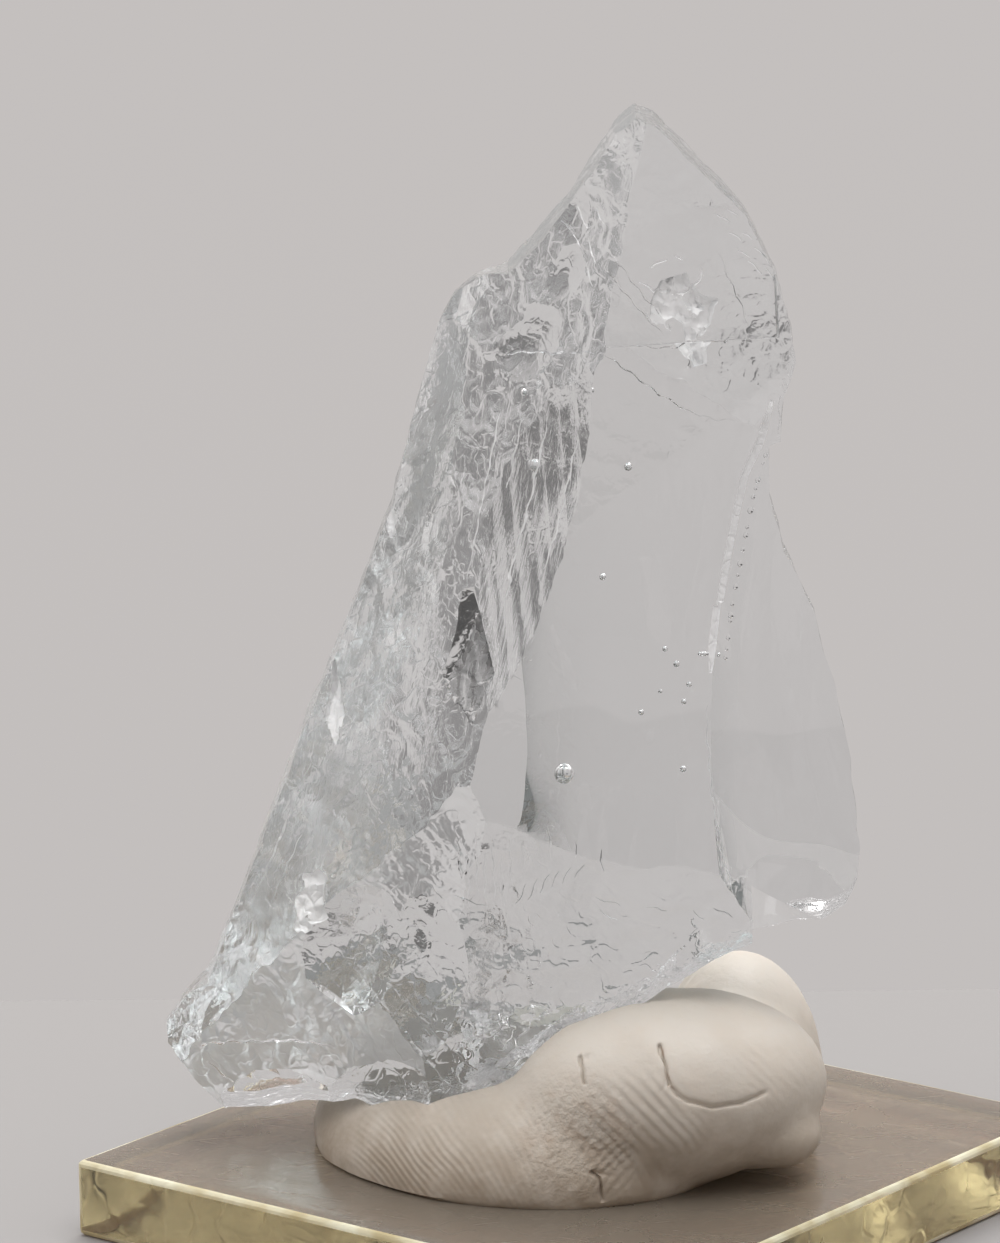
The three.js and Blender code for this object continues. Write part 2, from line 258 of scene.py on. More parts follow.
# Hairline cracks, grooves and white strips, some of which are painted highlights: paths over the seen
# surface as x and z, how wide and deep each cuts, how much it wanders and how rough it is. One entry's
# paths never cross.
GROOVES = {
    # Painted highlight: a wide strip of nearly opaque white glass down the ridge.
    "ridge_highlight": {
        "paths": [
            [
                (14.2, 61.3), (13.3, 58.3), (12.3, 56.3), (11.6, 53.4), (11, 50.4), (10.4, 47),
                (9.8, 42.4),
            ],
        ],
        "width": 0.75, "depth": 0.2, "grain": 1, "wander": 0,
    },
    "ridge_line": {
        "paths": [[(9.6, 40.2), (9.5, 38.6), (9.8, 34.3), (10.4, 30.1), (11.4, 26.6)]],
        "width": 0.14, "depth": 0.07, "grain": 0.9,
    },
    "notch": {"paths": [[(14.75, 61.6), (14.7, 58.6)]], "width": 0.14, "depth": 0.2, "grain": 0},
    "crown_edge": {
        "paths": [
            [(2.3, 65.3), (4.4, 63.7), (6.4, 62.1), (8.5, 60.8), (10.2, 60.2), (12, 60.1)],
            [(4.7, 65.5), (7.2, 65.2), (9.3, 65.4), (11.7, 65.5)],
            [(-4.4, 63.7), (-1.8, 64.2), (0.6, 64.8), (1.9, 65)],
        ],
        "width": 0.16, "depth": 0.09, "grain": 0,
    },
    "crown_lines": {
        "paths": [
            [(2.5, 71), (3.8, 69.4), (5.5, 67.3), (6.8, 65.9)],
            [(3.4, 71.5), (5.1, 69.1), (6.5, 67.3)],
            [(10.6, 71.6), (11.3, 69.7), (12.1, 68), (12.7, 66.2)],
        ],
        "width": 0.16, "depth": 0.12, "grain": 0,
    },
    # Short grooves on the crown; their whitish crushed glass is a painted highlight, small sparkles.
    "crown_sparkles": {
        "paths": [
            [(12.3, 72.7), (13, 72.2)], [(12.7, 70.7), (13.7, 69.8)], [(13.1, 71.6), (13.9, 71)],
            [(10.5, 74.1), (11.4, 73.4)], [(11.3, 74.4), (12, 73.8)], [(11.4, 72.8), (12.3, 72.1)],
            [(12, 71.5), (12.8, 70.9)], [(13.6, 71.2), (14.2, 70.5)], [(13.9, 70.1), (14.7, 69.3)],
            [(0.9, 74.2), (1.6, 72.9)], [(1.6, 72.2), (2.1, 70.9)], [(2.2, 74.4), (2.7, 73.4)],
            [(0.6, 72.3), (1.2, 71.5)], [(1.5, 70.4), (1.9, 69.3)], [(-0.2, 73.1), (0.4, 72.6)],
        ],
        "width": 0.4, "depth": 0.12, "grain": 0.9,
    },
    # Grooves round the scallop's rim; their nearly opaque white glass is a painted highlight.
    "shell_rim": {
        "paths": [
            [(5.1, 69.7), (6.1, 69), (7, 68.8)], [(7.4, 68.5), (8.6, 68.8), (9.3, 69.5), (9.4, 70.3)],
            [(5.9, 70.6), (7, 71.1)], [(7.6, 71.2), (8.2, 71)], [(4.9, 68), (5.8, 67)],
            [(8.9, 68.1), (9.6, 67.4)],
        ],
        "width": 0.4, "depth": 0.14, "grain": 1,
    },
    "foot_ridges": {
        "paths": [
            [(-16, 20.9), (-14.2, 19.2), (-12.2, 17.2), (-10.1, 14.5), (-8.8, 12.9)],
            [(-13.1, 20), (-11.5, 18.5), (-9.4, 16.4), (-6.8, 13.8)],
            [(-18.4, 19.4), (-17, 17.4), (-15.4, 15.1), (-14.6, 13.6)],
        ],
        "width": 0.36, "depth": 0.08, "grain": 0.6,
    },
    "fringe": {
        "paths": [
            [(-3.9, 26.6), (-3.2, 28)], [(-3.1, 26.9), (-2.4, 28.4)], [(-2.3, 27.4), (-1.6, 28.8)],
            [(-1.5, 27.8), (-0.9, 29)], [(-0.7, 28.1), (-0.1, 29.3)], [(0.2, 28.5), (0.8, 29.5)],
            [(-8.2, 27.3), (-5.9, 26.4)], [(1.6, 26.9), (3.4, 26.3)], [(1.9, 25.9), (3.1, 25.2)],
            [(5.2, 26.2), (6.6, 25.9)], [(8.4, 25.8), (9.2, 25.1)], [(9.9, 26), (11.2, 25.3)],
        ],
        "width": 0.2, "depth": 0.12, "grain": 0.7,
    },
    "left_edge": {
        "paths": [
            [(-22, 25.5), (-19.9, 30.3), (-18.3, 34.3)], [(-22.9, 23.6), (-21, 27.8), (-19.2, 32.1)],
            [(-21.2, 24.6), (-19.1, 29.2)], [(-18.3, 31), (-17.2, 34)],
        ],
        "width": 0.16, "depth": 0.1, "grain": 0, "glass": "crushed_glass",
    },
    "band_streaks": {
        "paths": [
            [(-4.6, 60), (-6.2, 52.7), (-7.1, 48.4)],
            [(-1.3, 60), (-2.6, 54.4), (-3.9, 50), (-4.6, 46.6)],
            [(-3.1, 59.7), (-4.2, 55)], [(0.7, 58.9), (-0.6, 53.3), (-1.8, 49.6)],
        ],
        "width": 0.16, "depth": 0.06, "grain": 0, "glass": "crushed_glass",
    },
    "striations": {
        "paths": [
            [(-8, 31.4), (-7.7, 28.2)], [(-7.3, 30.8), (-7.2, 26.4)], [(-6.7, 32), (-6.6, 27.6)],
            [(-6.1, 30.6), (-6, 26)], [(-5.5, 31.8), (-5.4, 27)], [(-4.9, 30.4), (-4.8, 26.4)],
            [(-4.3, 31.6), (-4.2, 28)], [(-3.4, 31.4), (-3.3, 29.2)], [(-1.6, 32.2), (-1.4, 29.8)],
            [(0.2, 31.3), (0.3, 30)], [(2, 30.5), (2.2, 28.9)],
        ],
        "width": 0.2, "depth": 0.08, "grain": 0,
    },
    "nub_line": {
        "paths": [
            [(-26.6, 13.4), (-23.8, 14), (-20.5, 14.7), (-17.4, 14.9)],
            [(-26.2, 12.2), (-24.2, 10.8)],
        ],
        "width": 0.2, "depth": 0.05, "grain": 0,
    },
}
GROOVE_STEP = 0.4
GROOVE_WANDER = 0.08  # how far a groove strays to either side
GROOVE_RISE = 0.12  # how far a groove's cutter stands over the surface
GROOVE_TIP = 0.25  # the share of its section that a groove starts with at each end
GROOVE_TAPER = 0.15  # how much of it each step adds
GROOVE_UNEVEN = 0.4  # the most that its section shrinks on the way

# A row of tiny open pits beside the ridge with the painted highlight: their path and radii.
PIT_ROW = [(13.9, 57.8), (12.9, 54.5), (12.2, 51), (11.4, 47), (10.8, 42.5)]
PIT_SIZES = (
    0.2, 0.14, 0.24, 0.15, 0.19, 0.26, 0.16, 0.22, 0.18, 0.24, 0.15, 0.21, 0.17, 0.25, 0.16, 0.2, 0.14,
    0.18,
)
PIT_STEP = 0.2

# The rougher glasses: name, the least grain of the faces that get it, clarity and roughness.
GLASSES = [
    ("hackled_glass", 0.22, 0.84, 0.05),
    ("dull_glass", 0.62, 0.77, 0.06),
    ("milky_glass", 0.65, 0.62, 0.08),
    ("crushed_glass", 0.85, 0.4, 0.15),
    # Painted highlight: nearly opaque white glass for the ridge strip and the scallop's rim.
    ("white_highlight_glass", 0.95, 0.1, 0.35),
]
WALL_GRAIN = 0.5  # of the outer edges
LENS_WALL = 4  # how steeply the surface rises outside a lens
RINGED = 0.3  # flakes with bowls deeper than this have rings
WHOLE = (60, 60, 60, 60)  # a reach that passes the rock on every side
BEYOND = 40  # how far a sheet goes outwards, unless it says
SKIN = 1.2  # what the rough first break leaves on for the fine second one
MARGIN = 2  # how far a fine sheet goes past the surface that it makes
CREASE_ANGLE = 28  # edges sharper than this many degrees stay sharp

# How far apart the points of each kind of surface are.
ROUGH_PITCH = 1.7
SMOOTH_PITCH = 0.7
FINE_PITCH = 0.22
WALL_PITCH = 0.4
WALL_CHIPS = [(0.22, 2.6), (0.08, 1.1)]  # height and size of the flakes off the outer edges


def relief(fracture, u, v, fine):
    """The height of a fracture's surface over its middle plane. Without fine, only its large forms."""
    across, up = fracture.get("curve", (math.inf, math.inf))
    h = u * u / (2 * across) + v * v / (2 * up)
    for height, spacing, *middle in fracture.get("ribs", []):
        r = np.hypot(u - middle[0], v - middle[1])
        h = h + height * crest(r / spacing + 0.12 * np.sin(0.5 * u + 0.31 * v))
    for height, spacing in fracture.get("flutes", [])[: None if fine else 1]:
        h = h + height * crest(u / spacing + 0.3 * np.sin(0.23 * v))
    for height, wide, high in fracture.get("hackle", [])[: None if fine else 1]:
        s = u / wide + 0.3 * np.sin(1.1 * v / high)
        t = v / high + 0.3 * np.sin(0.9 * u / wide + 2)
        bowls = flakes(s, t)
        h = h + height * bowls
        if fine and "rings" in fracture and height > RINGED:
            ring_height, ring_count = fracture["rings"]
            h = h + ring_height * crest(ring_count * np.sqrt(bowls))
    if "lens" in fracture:
        wide, high = fracture["lens"]
        ragged = fracture.get("ragged", 0) * waves(u, v, 1.5 * min(wide, high))
        h = h + LENS_WALL * np.maximum(0, np.abs(u / wide) + np.abs(v / high) + ragged - 1)
    if fine and "ripple" in fracture:
        height, length = fracture["ripple"]
        h = h + height * waves(u, v, length)
    return h


def directions(fracture):
    """The directions across the face, up it and out of it."""
    azimuth, elevation = fracture["face"]
    out = facing(azimuth, elevation)
    a = math.radians(azimuth)
    across = Vector((math.cos(a), math.sin(a), 0))
    across.rotate(Quaternion(out, math.radians(fracture.get("turn", 0))))
    return across, out.cross(across), out


def placement(fracture):
    """The matrix from a fracture's own across, up and out to the rock's millimetres."""
    across, up, out = directions(fracture)
    return Matrix.Translation(fracture["at"]) @ Matrix((across, up, out)).transposed().to_4x4()


def flake_row(name, number):
    """A row of small shell-shaped breaks over one rough face."""
    row, face = FLAKE_ROWS[name], FACES[name]
    across, up, out = directions(face)
    azimuth, elevation = face["face"]
    flakes_off = []
    for i in range(row["count"]):
        draws = [float(scatter(i, number + 20 * k)) for k in range(6)]
        u = row["across"][0] + (row["across"][1] - row["across"][0]) * draws[0]
        v = row["up"][0] + (row["up"][1] - row["up"][0]) * (i + 0.5) / row["count"]
        size = row["radius"] * (FLAKE_SIZES[0] + FLAKE_SIZES[1] * draws[2])
        flakes_off.append({
            "at": Vector(face["at"]) + u * across + v * up - row["depth"] * draws[1] * out,
            "face": (azimuth + FLAKE_TILT * (draws[3] - 0.5), elevation + FLAKE_TILT * (draws[4] - 0.5)),
            "turn": 180 * draws[5],
            "curve": (size, 2 * size),
            "reach": (size, size, 1.4 * size, 1.4 * size),
            "hackle": FLAKE_HACKLE,
            "grain": FLAKE_GRAIN,
        })
    return flakes_off


def link(name, bm):
    """A new object in the scene with the bmesh as its mesh."""
    mesh = bpy.data.meshes.new(name)
    bm.to_mesh(mesh)
    bm.free()
    piece = bpy.data.objects.new(name, mesh)
    bpy.context.scene.collection.objects.link(piece)
    return piece


def smooth(piece, angle=CREASE_ANGLE):
    """Shade a piece smoothly, apart from edges that are sharper than an angle in degrees."""
    piece.data.shade_smooth()
    piece.data.set_sharp_from_angle(angle=math.radians(angle))


def sheet(fracture, number, reach, pitch, fine, lift=0):
    """The closed slab that a fracture takes off the rock, its faces marked with the fracture's number."""
    left, right, down, up = reach
    thick = fracture.get("thick", BEYOND)
    bm = bmesh.new()
    mark = bm.faces.layers.int.new("fracture")
    bmesh.ops.create_grid(
        bm,
        x_segments=max(1, round((left + right) / pitch)),
        y_segments=max(1, round((down + up) / pitch)),
        size=1,
    )
    middle = Matrix.Translation(((right - left) / 2, (up - down) / 2, 0))
    spread = Matrix.Diagonal(((left + right) / 2, (down + up) / 2, 1, 1))
    bmesh.ops.transform(bm, matrix=middle @ spread, verts=bm.verts)
    flat = np.array([vert.co[:2] for vert in bm.verts])
    for vert, height in zip(bm.verts, relief(fracture, flat[:, 0], flat[:, 1], fine)):
        vert.co.z = height + lift
    for face in bm.faces:
        face[mark] = number
    outer = bmesh.ops.extrude_face_region(bm, geom=bm.faces[:])["geom"]
    for vert in (item for item in outer if isinstance(item, bmesh.types.BMVert)):
        vert.co.z = thick + max(0, vert.co.z)
    bmesh.ops.recalc_face_normals(bm, faces=bm.faces)
    bmesh.ops.transform(bm, matrix=placement(fracture), verts=bm.verts)
    return link("fracture", bm)


def take_off(piece, cutters):
    """Cuts the cutters out of a piece and removes them."""
    for cutter in cutters:
        modifier = piece.modifiers.new("break", "BOOLEAN")
        modifier.operation = "DIFFERENCE"
        modifier.solver = "MANIFOLD"
        modifier.object = cutter
    depsgraph = bpy.context.evaluated_depsgraph_get()
    cut = bpy.data.meshes.new_from_object(piece.evaluated_get(depsgraph), depsgraph=depsgraph)
    cut.materials.clear()
    piece.modifiers.clear()
    piece.data = cut
    for cutter in cutters:
        bpy.data.meshes.remove(cutter.data)


def keep_largest(bm):
    """Deletes all but the largest of a bmesh's separate shells."""
    left = set(bm.verts)
    shells = []
    while left:
        shell = set()
        edge_of_shell = [left.pop()]
        while edge_of_shell:
            vert = edge_of_shell.pop()
            shell.add(vert)
            near = {edge.other_vert(vert) for edge in vert.link_edges} & left
            left -= near
            edge_of_shell.extend(near)
        shells.append(shell)
    largest = max(shells, key=len)
    splinters = [vert for shell in shells if shell is not largest for vert in shell]
    bmesh.ops.delete(bm, geom=splinters, context="VERTS")


def raw_block(fine=False):
    """The upright block that the rock is broken from; the walls of a fine one are chipped all over."""
    bm = bmesh.new()
    bm.faces.layers.int.new("fracture")
    outline = np.array(OUTLINE)
    if fine:
        stretches = []
        for start, end in zip(outline, np.roll(outline, -1, axis=0)):
            steps = max(1, round(float(np.hypot(*(end - start))) / WALL_PITCH))
            stretches.append(start + (end - start) * np.arange(steps)[:, None] / steps)
        outline = np.vstack(stretches)
    front = bm.faces.new([bm.verts.new((x, BLOCK_FRONT, z)) for x, z in outline])
    back = bmesh.ops.extrude_face_region(bm, geom=[front])["geom"]
    bmesh.ops.translate(
        bm, verts=[v for v in back if isinstance(v, bmesh.types.BMVert)], vec=(0, BLOCK_DEPTH, 0)
    )
    bmesh.ops.recalc_face_normals(bm, faces=bm.faces)
    if fine:
        deep = [edge for edge in bm.edges if edge.calc_length() > BLOCK_DEPTH - 1]
        cuts = round(BLOCK_DEPTH / WALL_PITCH)
        bmesh.ops.subdivide_edges(bm, edges=deep, cuts=cuts, use_grid_fill=True)
        chip_walls(bm, outline)
    return link("crystal", bm)


def chip_walls(bm, outline):
    """Moves the block's walls inwards by small flakes."""
    along = np.roll(outline, -1, axis=0) - np.roll(outline, 1, axis=0)
    along /= np.linalg.norm(along, axis=1)[:, None]
    lengths = np.linalg.norm(outline - np.roll(outline, 1, axis=0), axis=1).cumsum()
    spots = np.array([vert.co[:] for vert in bm.verts])
    flat = spots[:, [0, 2]]
    nearest = np.array([np.argmin(((outline - spot) ** 2).sum(axis=1)) for spot in flat])
    chip = sum(
        height * flakes(lengths[nearest] / size + 3, spots[:, 1] / size) for height, size in WALL_CHIPS
    )
    inwards = np.stack((along[nearest, 1], -along[nearest, 0]), axis=1) * chip[:, None]
    for vert, (dx, dz) in zip(bm.verts, inwards):
        vert.co.x += dx
        vert.co.z += dz


def seen_reach(piece, fractures):
    """For each fracture, how far its surface on the piece goes left, right, down and up, or None."""
    mesh = piece.data
    marks = [item.value for item in mesh.attributes["fracture"].data]
    points = {}
    for polygon, number in zip(mesh.polygons, marks):
        points.setdefault(number, []).extend(mesh.vertices[i].co for i in polygon.vertices)
    reaches = []
    for number, fracture in enumerate(fractures, 1):
        if number not in points:
            reaches.append(None)
            continue
        inverse = placement(fracture).inverted()
        flat = np.array([(inverse @ point)[:2] for point in points[number]])
        seen = (-flat[:, 0].min(), flat[:, 0].max(), -flat[:, 1].min(), flat[:, 1].max())
        own = fracture.get("reach", WHOLE)
        reaches.append([min(limit, edge + MARGIN) for limit, edge in zip(own, seen)])
    return reaches


def broken_rock(lift, fine_walls=False):
    """The rock with only its large forms, and lift millimetres larger at every fracture."""
    rock = raw_block(fine_walls)
    cutters = [
        sheet(fracture, number, fracture.get("reach", WHOLE), ROUGH_PITCH, False, lift)
        for number, fracture in enumerate(all_fractures(), 1)
    ]
    take_off(rock, cutters)
    return rock


def all_fractures():
    """The faces, the scallops and the flakes of every row, in the order that they break off."""
    rows = [flake for number, name in enumerate(FLAKE_ROWS) for flake in flake_row(name, number)]
    return [*FACES.values(), *SCALLOPS.values(), *rows]


def seen_points(tree, path, step):
    """Where a path of x and z lies on the rock as seen from the front: points and outward normals."""
    spots = []
    for (x0, z0), (x1, z1) in zip(path, path[1:]):
        count = max(1, round(math.hypot(x1 - x0, z1 - z0) / step))
        spots += [(x0 + (x1 - x0) * i / count, z0 + (z1 - z0) * i / count) for i in range(count)]
    hits = [tree.ray_cast((x, BLOCK_FRONT - 1, z), (0, 1, 0))[:2] for x, z in [*spots, path[-1]]]
    return [(point, normal) for point, normal in hits if point]


def groove_cutter(tree, groove, number):
    """Bars of V section that lie along the paths, pointed at both ends."""
    width, depth, wander = groove["width"], groove["depth"], groove.get("wander", 1)
    bm = bmesh.new()
    mark = bm.faces.layers.int.new("fracture")
    for path in groove["paths"]:
        line = seen_points(tree, path, GROOVE_STEP)
        last = len(line) - 1
        if last < 2:
            continue
        before = len(bm.verts)
        ends = bmesh.ops.create_cone(
            bm, cap_ends=True, segments=3, radius1=1, radius2=1, depth=last
        )["verts"]
        deep = {e for v in ends for e in v.link_edges if abs(e.verts[0].co.z - e.verts[1].co.z) > 0.5}
        bmesh.ops.subdivide_edges(bm, edges=list(deep), cuts=last - 1, use_grid_fill=True)
        bm.verts.ensure_lookup_table()
        for vert in bm.verts[before:]:
            i = round(vert.co.z + last / 2)
            point, normal = line[i]
            along = line[min(i + 1, last)][0] - line[max(i - 1, 0)][0]
            across = normal.cross(along).normalized()
            taper = min(1, GROOVE_TIP + GROOVE_TAPER * min(i, last - i))
            taper = taper * (1 - GROOVE_UNEVEN * wander * scatter(i, len(line)))
            top = width * taper * (depth * taper + GROOVE_RISE) / (depth * taper)
            side = vert.co.x / math.sin(math.radians(120))
            stray = wander * GROOVE_WANDER * math.sin(1.3 * i + point.x)
            sunk = -depth * taper if vert.co.y > 0 else GROOVE_RISE
            vert.co = point + across * (side * top / 2 + stray)
            vert.co += normal * sunk
    for face in bm.faces:
        face[mark] = number
    bmesh.ops.recalc_face_normals(bm, faces=bm.faces)
    return link("groove", bm)


def pit_cutter(tree, number):
    """Little balls along the pit row, half sunk in the rock."""
    bm = bmesh.new()
    mark = bm.faces.layers.int.new("fracture")
    line = seen_points(tree, PIT_ROW, PIT_STEP)
    for i, radius in enumerate(PIT_SIZES):
        share = (i + 0.6 * scatter(i, 3)) / len(PIT_SIZES)
        point, _ = line[round(share * (len(line) - 1))]
        bmesh.ops.create_icosphere(bm, subdivisions=2, radius=radius, matrix=Matrix.Translation(point))
    for face in bm.faces:
        face[mark] = number
    return link("pits", bm)


def crystal_shape():
    """The crystal in full detail, in millimetres, and what made each of its faces."""
    fractures = all_fractures()
    rock = broken_rock(SKIN, True)
    cutters = []
    for number, (fracture, reach) in enumerate(zip(fractures, seen_reach(rock, fractures)), 1):
        if reach:
            rough = any(key in fracture for key in ("hackle", "flutes", "lens"))
            cutters.append(sheet(fracture, number, reach, FINE_PITCH if rough else SMOOTH_PITCH, True))
    take_off(rock, cutters)
    bm = bmesh.new()
    bm.from_mesh(rock.data)
    tree = BVHTree.FromBMesh(bm)
    bm.free()
    first = len(fractures) + 1
    cutters = [
        groove_cutter(tree, groove, number) for number, groove in enumerate(GROOVES.values(), first)
    ]
    cutters.append(pit_cutter(tree, first + len(GROOVES)))
    take_off(rock, cutters)
    return rock, [*fractures, *GROOVES.values(), {"grain": 0}]


def glass_slot(fracture):
    """Which glass a fracture's faces are of: the one that it names, or else by how rough it is."""
    if "glass" in fracture:
        return ["clear_glass", *(name for name, *_ in GLASSES)].index(fracture["glass"])
    return sum(fracture.get("grain", 0) >= least for _, least, _, _ in GLASSES)


def finish_crystal(rock, fractures):
    """Drops loose splinters, adds the bubbles, notes each face's grain and scales to metres."""
    bm = bmesh.new()
    bm.from_mesh(rock.data)
    keep_largest(bm)
    mark = bm.faces.layers.int["fracture"]
    grain = bm.faces.layers.float.new("grain")
    streaks = bm.faces.layers.float.new("streaks")
    for face in bm.faces:
        fracture = fractures[face[mark] - 1] if face[mark] else {"grain": WALL_GRAIN}
        face[grain] = fracture.get("grain", 0)
        face[streaks] = fracture.get("streaks", 0)
        face.material_index = glass_slot(fracture)
    for middle, radius in BUBBLES:
        bubble = bmesh.ops.create_icosphere(
            bm, subdivisions=3, radius=radius, matrix=Matrix.Translation(middle)
        )
        shell = {face for vert in bubble["verts"] for face in vert.link_faces}
        bmesh.ops.reverse_faces(bm, faces=list(shell))
    bmesh.ops.triangulate(bm, faces=bm.faces)
    bmesh.ops.scale(bm, vec=(MM, MM, MM), verts=bm.verts)
    bm.to_mesh(rock.data)
    bm.free()
    smooth(rock)


# ---------------------------------------------------------------- the putty, in millimetres

LUMPS = {
    "body": {"at": (-4.1, -2.8, 6.5), "radii": (15.8, 12.8, 7.6), "turn": -41},
    "front_roll": {"at": (7, -9.2, 12.3), "radii": (11, 7.4, 6.8), "turn": 8},
    "right_fold": {"at": (12, 0.5, 10.5), "radii": (6, 7.2, 8.5), "turn": 10},
    "curl": {"at": (14.4, -10.4, 8.9), "radii": (2.9, 3.2, 2.3), "turn": 20},
    "back_roll": {"at": (-2, 8, 8), "radii": (12.5, 5.5, 7), "turn": -6},
}
LUMP_MIDDLE = np.array((1, -2, 7))
LUMP_BLEND = 0.07  # how softly the lumps run into one another
FAR_OUTSIDE = 50.0  # how far from its middle the search for its surface starts
HALVINGS = 30
BALL_ROUNDS = 5  # how often the faces of the ball that becomes the putty are divided
SEAT_GAP = 0.12  # between the putty and the crystal
PUTTY_CREASE_ANGLE = 40
DENTS = [(0.14, 5.5), (0.05, 2.1)]  # depth and length of the uneven surface that kneading left

# Creases: the way of each over the putty, how wide and how deep.
CREASES = [
    {"path": [(0.4, -14.1, 15.9), (0.6, -14.8, 15.2), (0.7, -15.3, 14.4)], "width": 0.13, "depth": 0.35},
    {"path": [(6.5, -16, 14.9), (6.1, -16.2, 13.9), (6.1, -16.4, 12.9)], "width": 0.22, "depth": 0.14},
    {"path": [(6, -14.7, 16.8), (6.3, -15.5, 15.9), (6.6, -16.2, 14.5)], "width": 0.14, "depth": 0.5},
    {
        "path": [
            (6.5, -16, 14.9), (6.7, -16.2, 14.3), (7.2, -16.4, 13.8), (8, -16.4, 13.3),
            (9.7, -16.2, 12.8), (11.8, -15.5, 12.9), (13.3, -14.7, 13.3),
        ],
        "width": 0.15, "depth": 0.3,
    },
    {
        "path": [(1.2, -16.5, 8.2), (1.7, -16.6, 7.8), (1.75, -16.7, 7.3), (1.9, -16.8, 6.2)],
        "width": 0.15, "depth": 0.5,
    },
    {"path": [(1.5, -16.5, 8.1), (2.3, -16.6, 8)], "width": 0.24, "depth": 0.25},
    {"path": [(1.2, -15.9, 12), (2.2, -16.2, 11), (2.8, -16.4, 10)], "width": 0.16, "depth": 0.14},
    {"path": [(3.4, -16.2, 12.6), (4.1, -16.5, 11), (4.6, -16.5, 9.6)], "width": 0.2, "depth": 0.14},
    {"path": [(-0.4, -15.7, 11), (0.3, -15.9, 10.4), (1.3, -16.1, 10.5)], "width": 0.16, "depth": 0.2},
    {"path": [(11.6, -14.3, 8), (13, -13.9, 8.2), (14.4, -13.4, 7.6)], "width": 0.3, "depth": 0.3},
]
CREASE_WANDER = 0.16  # how far a crease strays from its way
CREASE_NEAR = (1.2, 0.6, 0.35)  # within each of these the mesh is divided once more

# Finger prints: middle and radius, the point that the ridges run round, their spacing and height.
PRINTS = [
    {"at": (-12, -12.4, 8.8), "radius": 7, "round": (-25, -12, -7), "spacing": 0.47, "height": 0.055},
    {"at": (-5, -15.4, 9.4), "radius": 5.5, "round": (-22, -12, -4), "spacing": 0.52, "height": 0.03},
    {"at": (4.6, -16.5, 11), "radius": 5.4, "round": (-8, -15, 1.1), "spacing": 0.72, "height": 0.1},
    {"at": (2.4, -16.3, 8.6), "radius": 2.8, "round": (12, -15, -1), "spacing": 0.56, "height": 0.05},
    {"at": (13.6, -13, 14.4), "radius": 4, "round": (4, -14, 6), "spacing": 0.55, "height": 0.02},
]
KNEADED = ((-0.2, -16, 10.6), 6)  # middle and radius of the most wrinkled stretch

# Small holes: how many, their radius and depth.
PITS = 26
PIT_RADIUS = 0.22
PIT_DEPTH = 0.2


def putty_field(points):
    """Below 0 inside the putty and above 0 outside it, for rows of points in millimetres."""
    total = 0
    for lump in LUMPS.values():
        turn = math.radians(-lump["turn"])
        offset = points - np.array(lump["at"])
        x = offset[:, 0] * math.cos(turn) - offset[:, 1] * math.sin(turn)
        y = offset[:, 0] * math.sin(turn) + offset[:, 1] * math.cos(turn)
        far = np.sqrt(sum((c / r) ** 2 for c, r in zip((x, y, offset[:, 2]), lump["radii"])))
        total = total + np.exp((1 - far) / LUMP_BLEND)
    return -LUMP_BLEND * np.log(total)


def putty_surface(rays):
    """Where rays from the putty's middle leave it, by halving."""
    inside = np.zeros(len(rays))
    outside = np.full(len(rays), FAR_OUTSIDE)
    for _ in range(HALVINGS):
        reach = (inside + outside) / 2
        within = putty_field(LUMP_MIDDLE + rays * reach[:, None]) < 0
        inside = np.where(within, reach, inside)
        outside = np.where(within, outside, reach)
    return LUMP_MIDDLE + rays * inside[:, None]


def path_distance(points, path):
    """How far points are from a path of straight stretches."""
    nearest = np.full(len(points), np.inf)
    for start, end in zip(np.array(path[:-1]), np.array(path[1:])):
        along = end - start
        share = np.clip((points - start) @ along / (along @ along), 0, 1)
        away = points - start - share[:, None] * along
        nearest = np.minimum(nearest, np.linalg.norm(away, axis=1))
    return nearest


def crease_depth(points):
    """How deep each point lies in the creases."""
    depth = np.zeros(len(points))
    points = points.copy()
    points[:, 0] += CREASE_WANDER * waves(points[:, 1] + points[:, 0], points[:, 2], 1.3)
    for crease in CREASES:
        d = path_distance(points, crease["path"]) / crease["width"]
        depth = np.maximum(depth, crease["depth"] * np.exp(-d * d))
    return depth


def pit_depth(points):
    """How deep each point lies in the small holes."""
    depth = np.zeros(len(points))
    for i in range(PITS):
        turn, rise = 360 * scatter(i, 3), 60 * scatter(i, 5)
        middle = putty_surface(np.array([facing(turn, rise)]))[0]
        d = np.linalg.norm(points - middle, axis=1) / (PIT_RADIUS * (0.6 + scatter(i, 7)))
        depth = np.maximum(depth, PIT_DEPTH * np.exp(-d * d))
    return depth


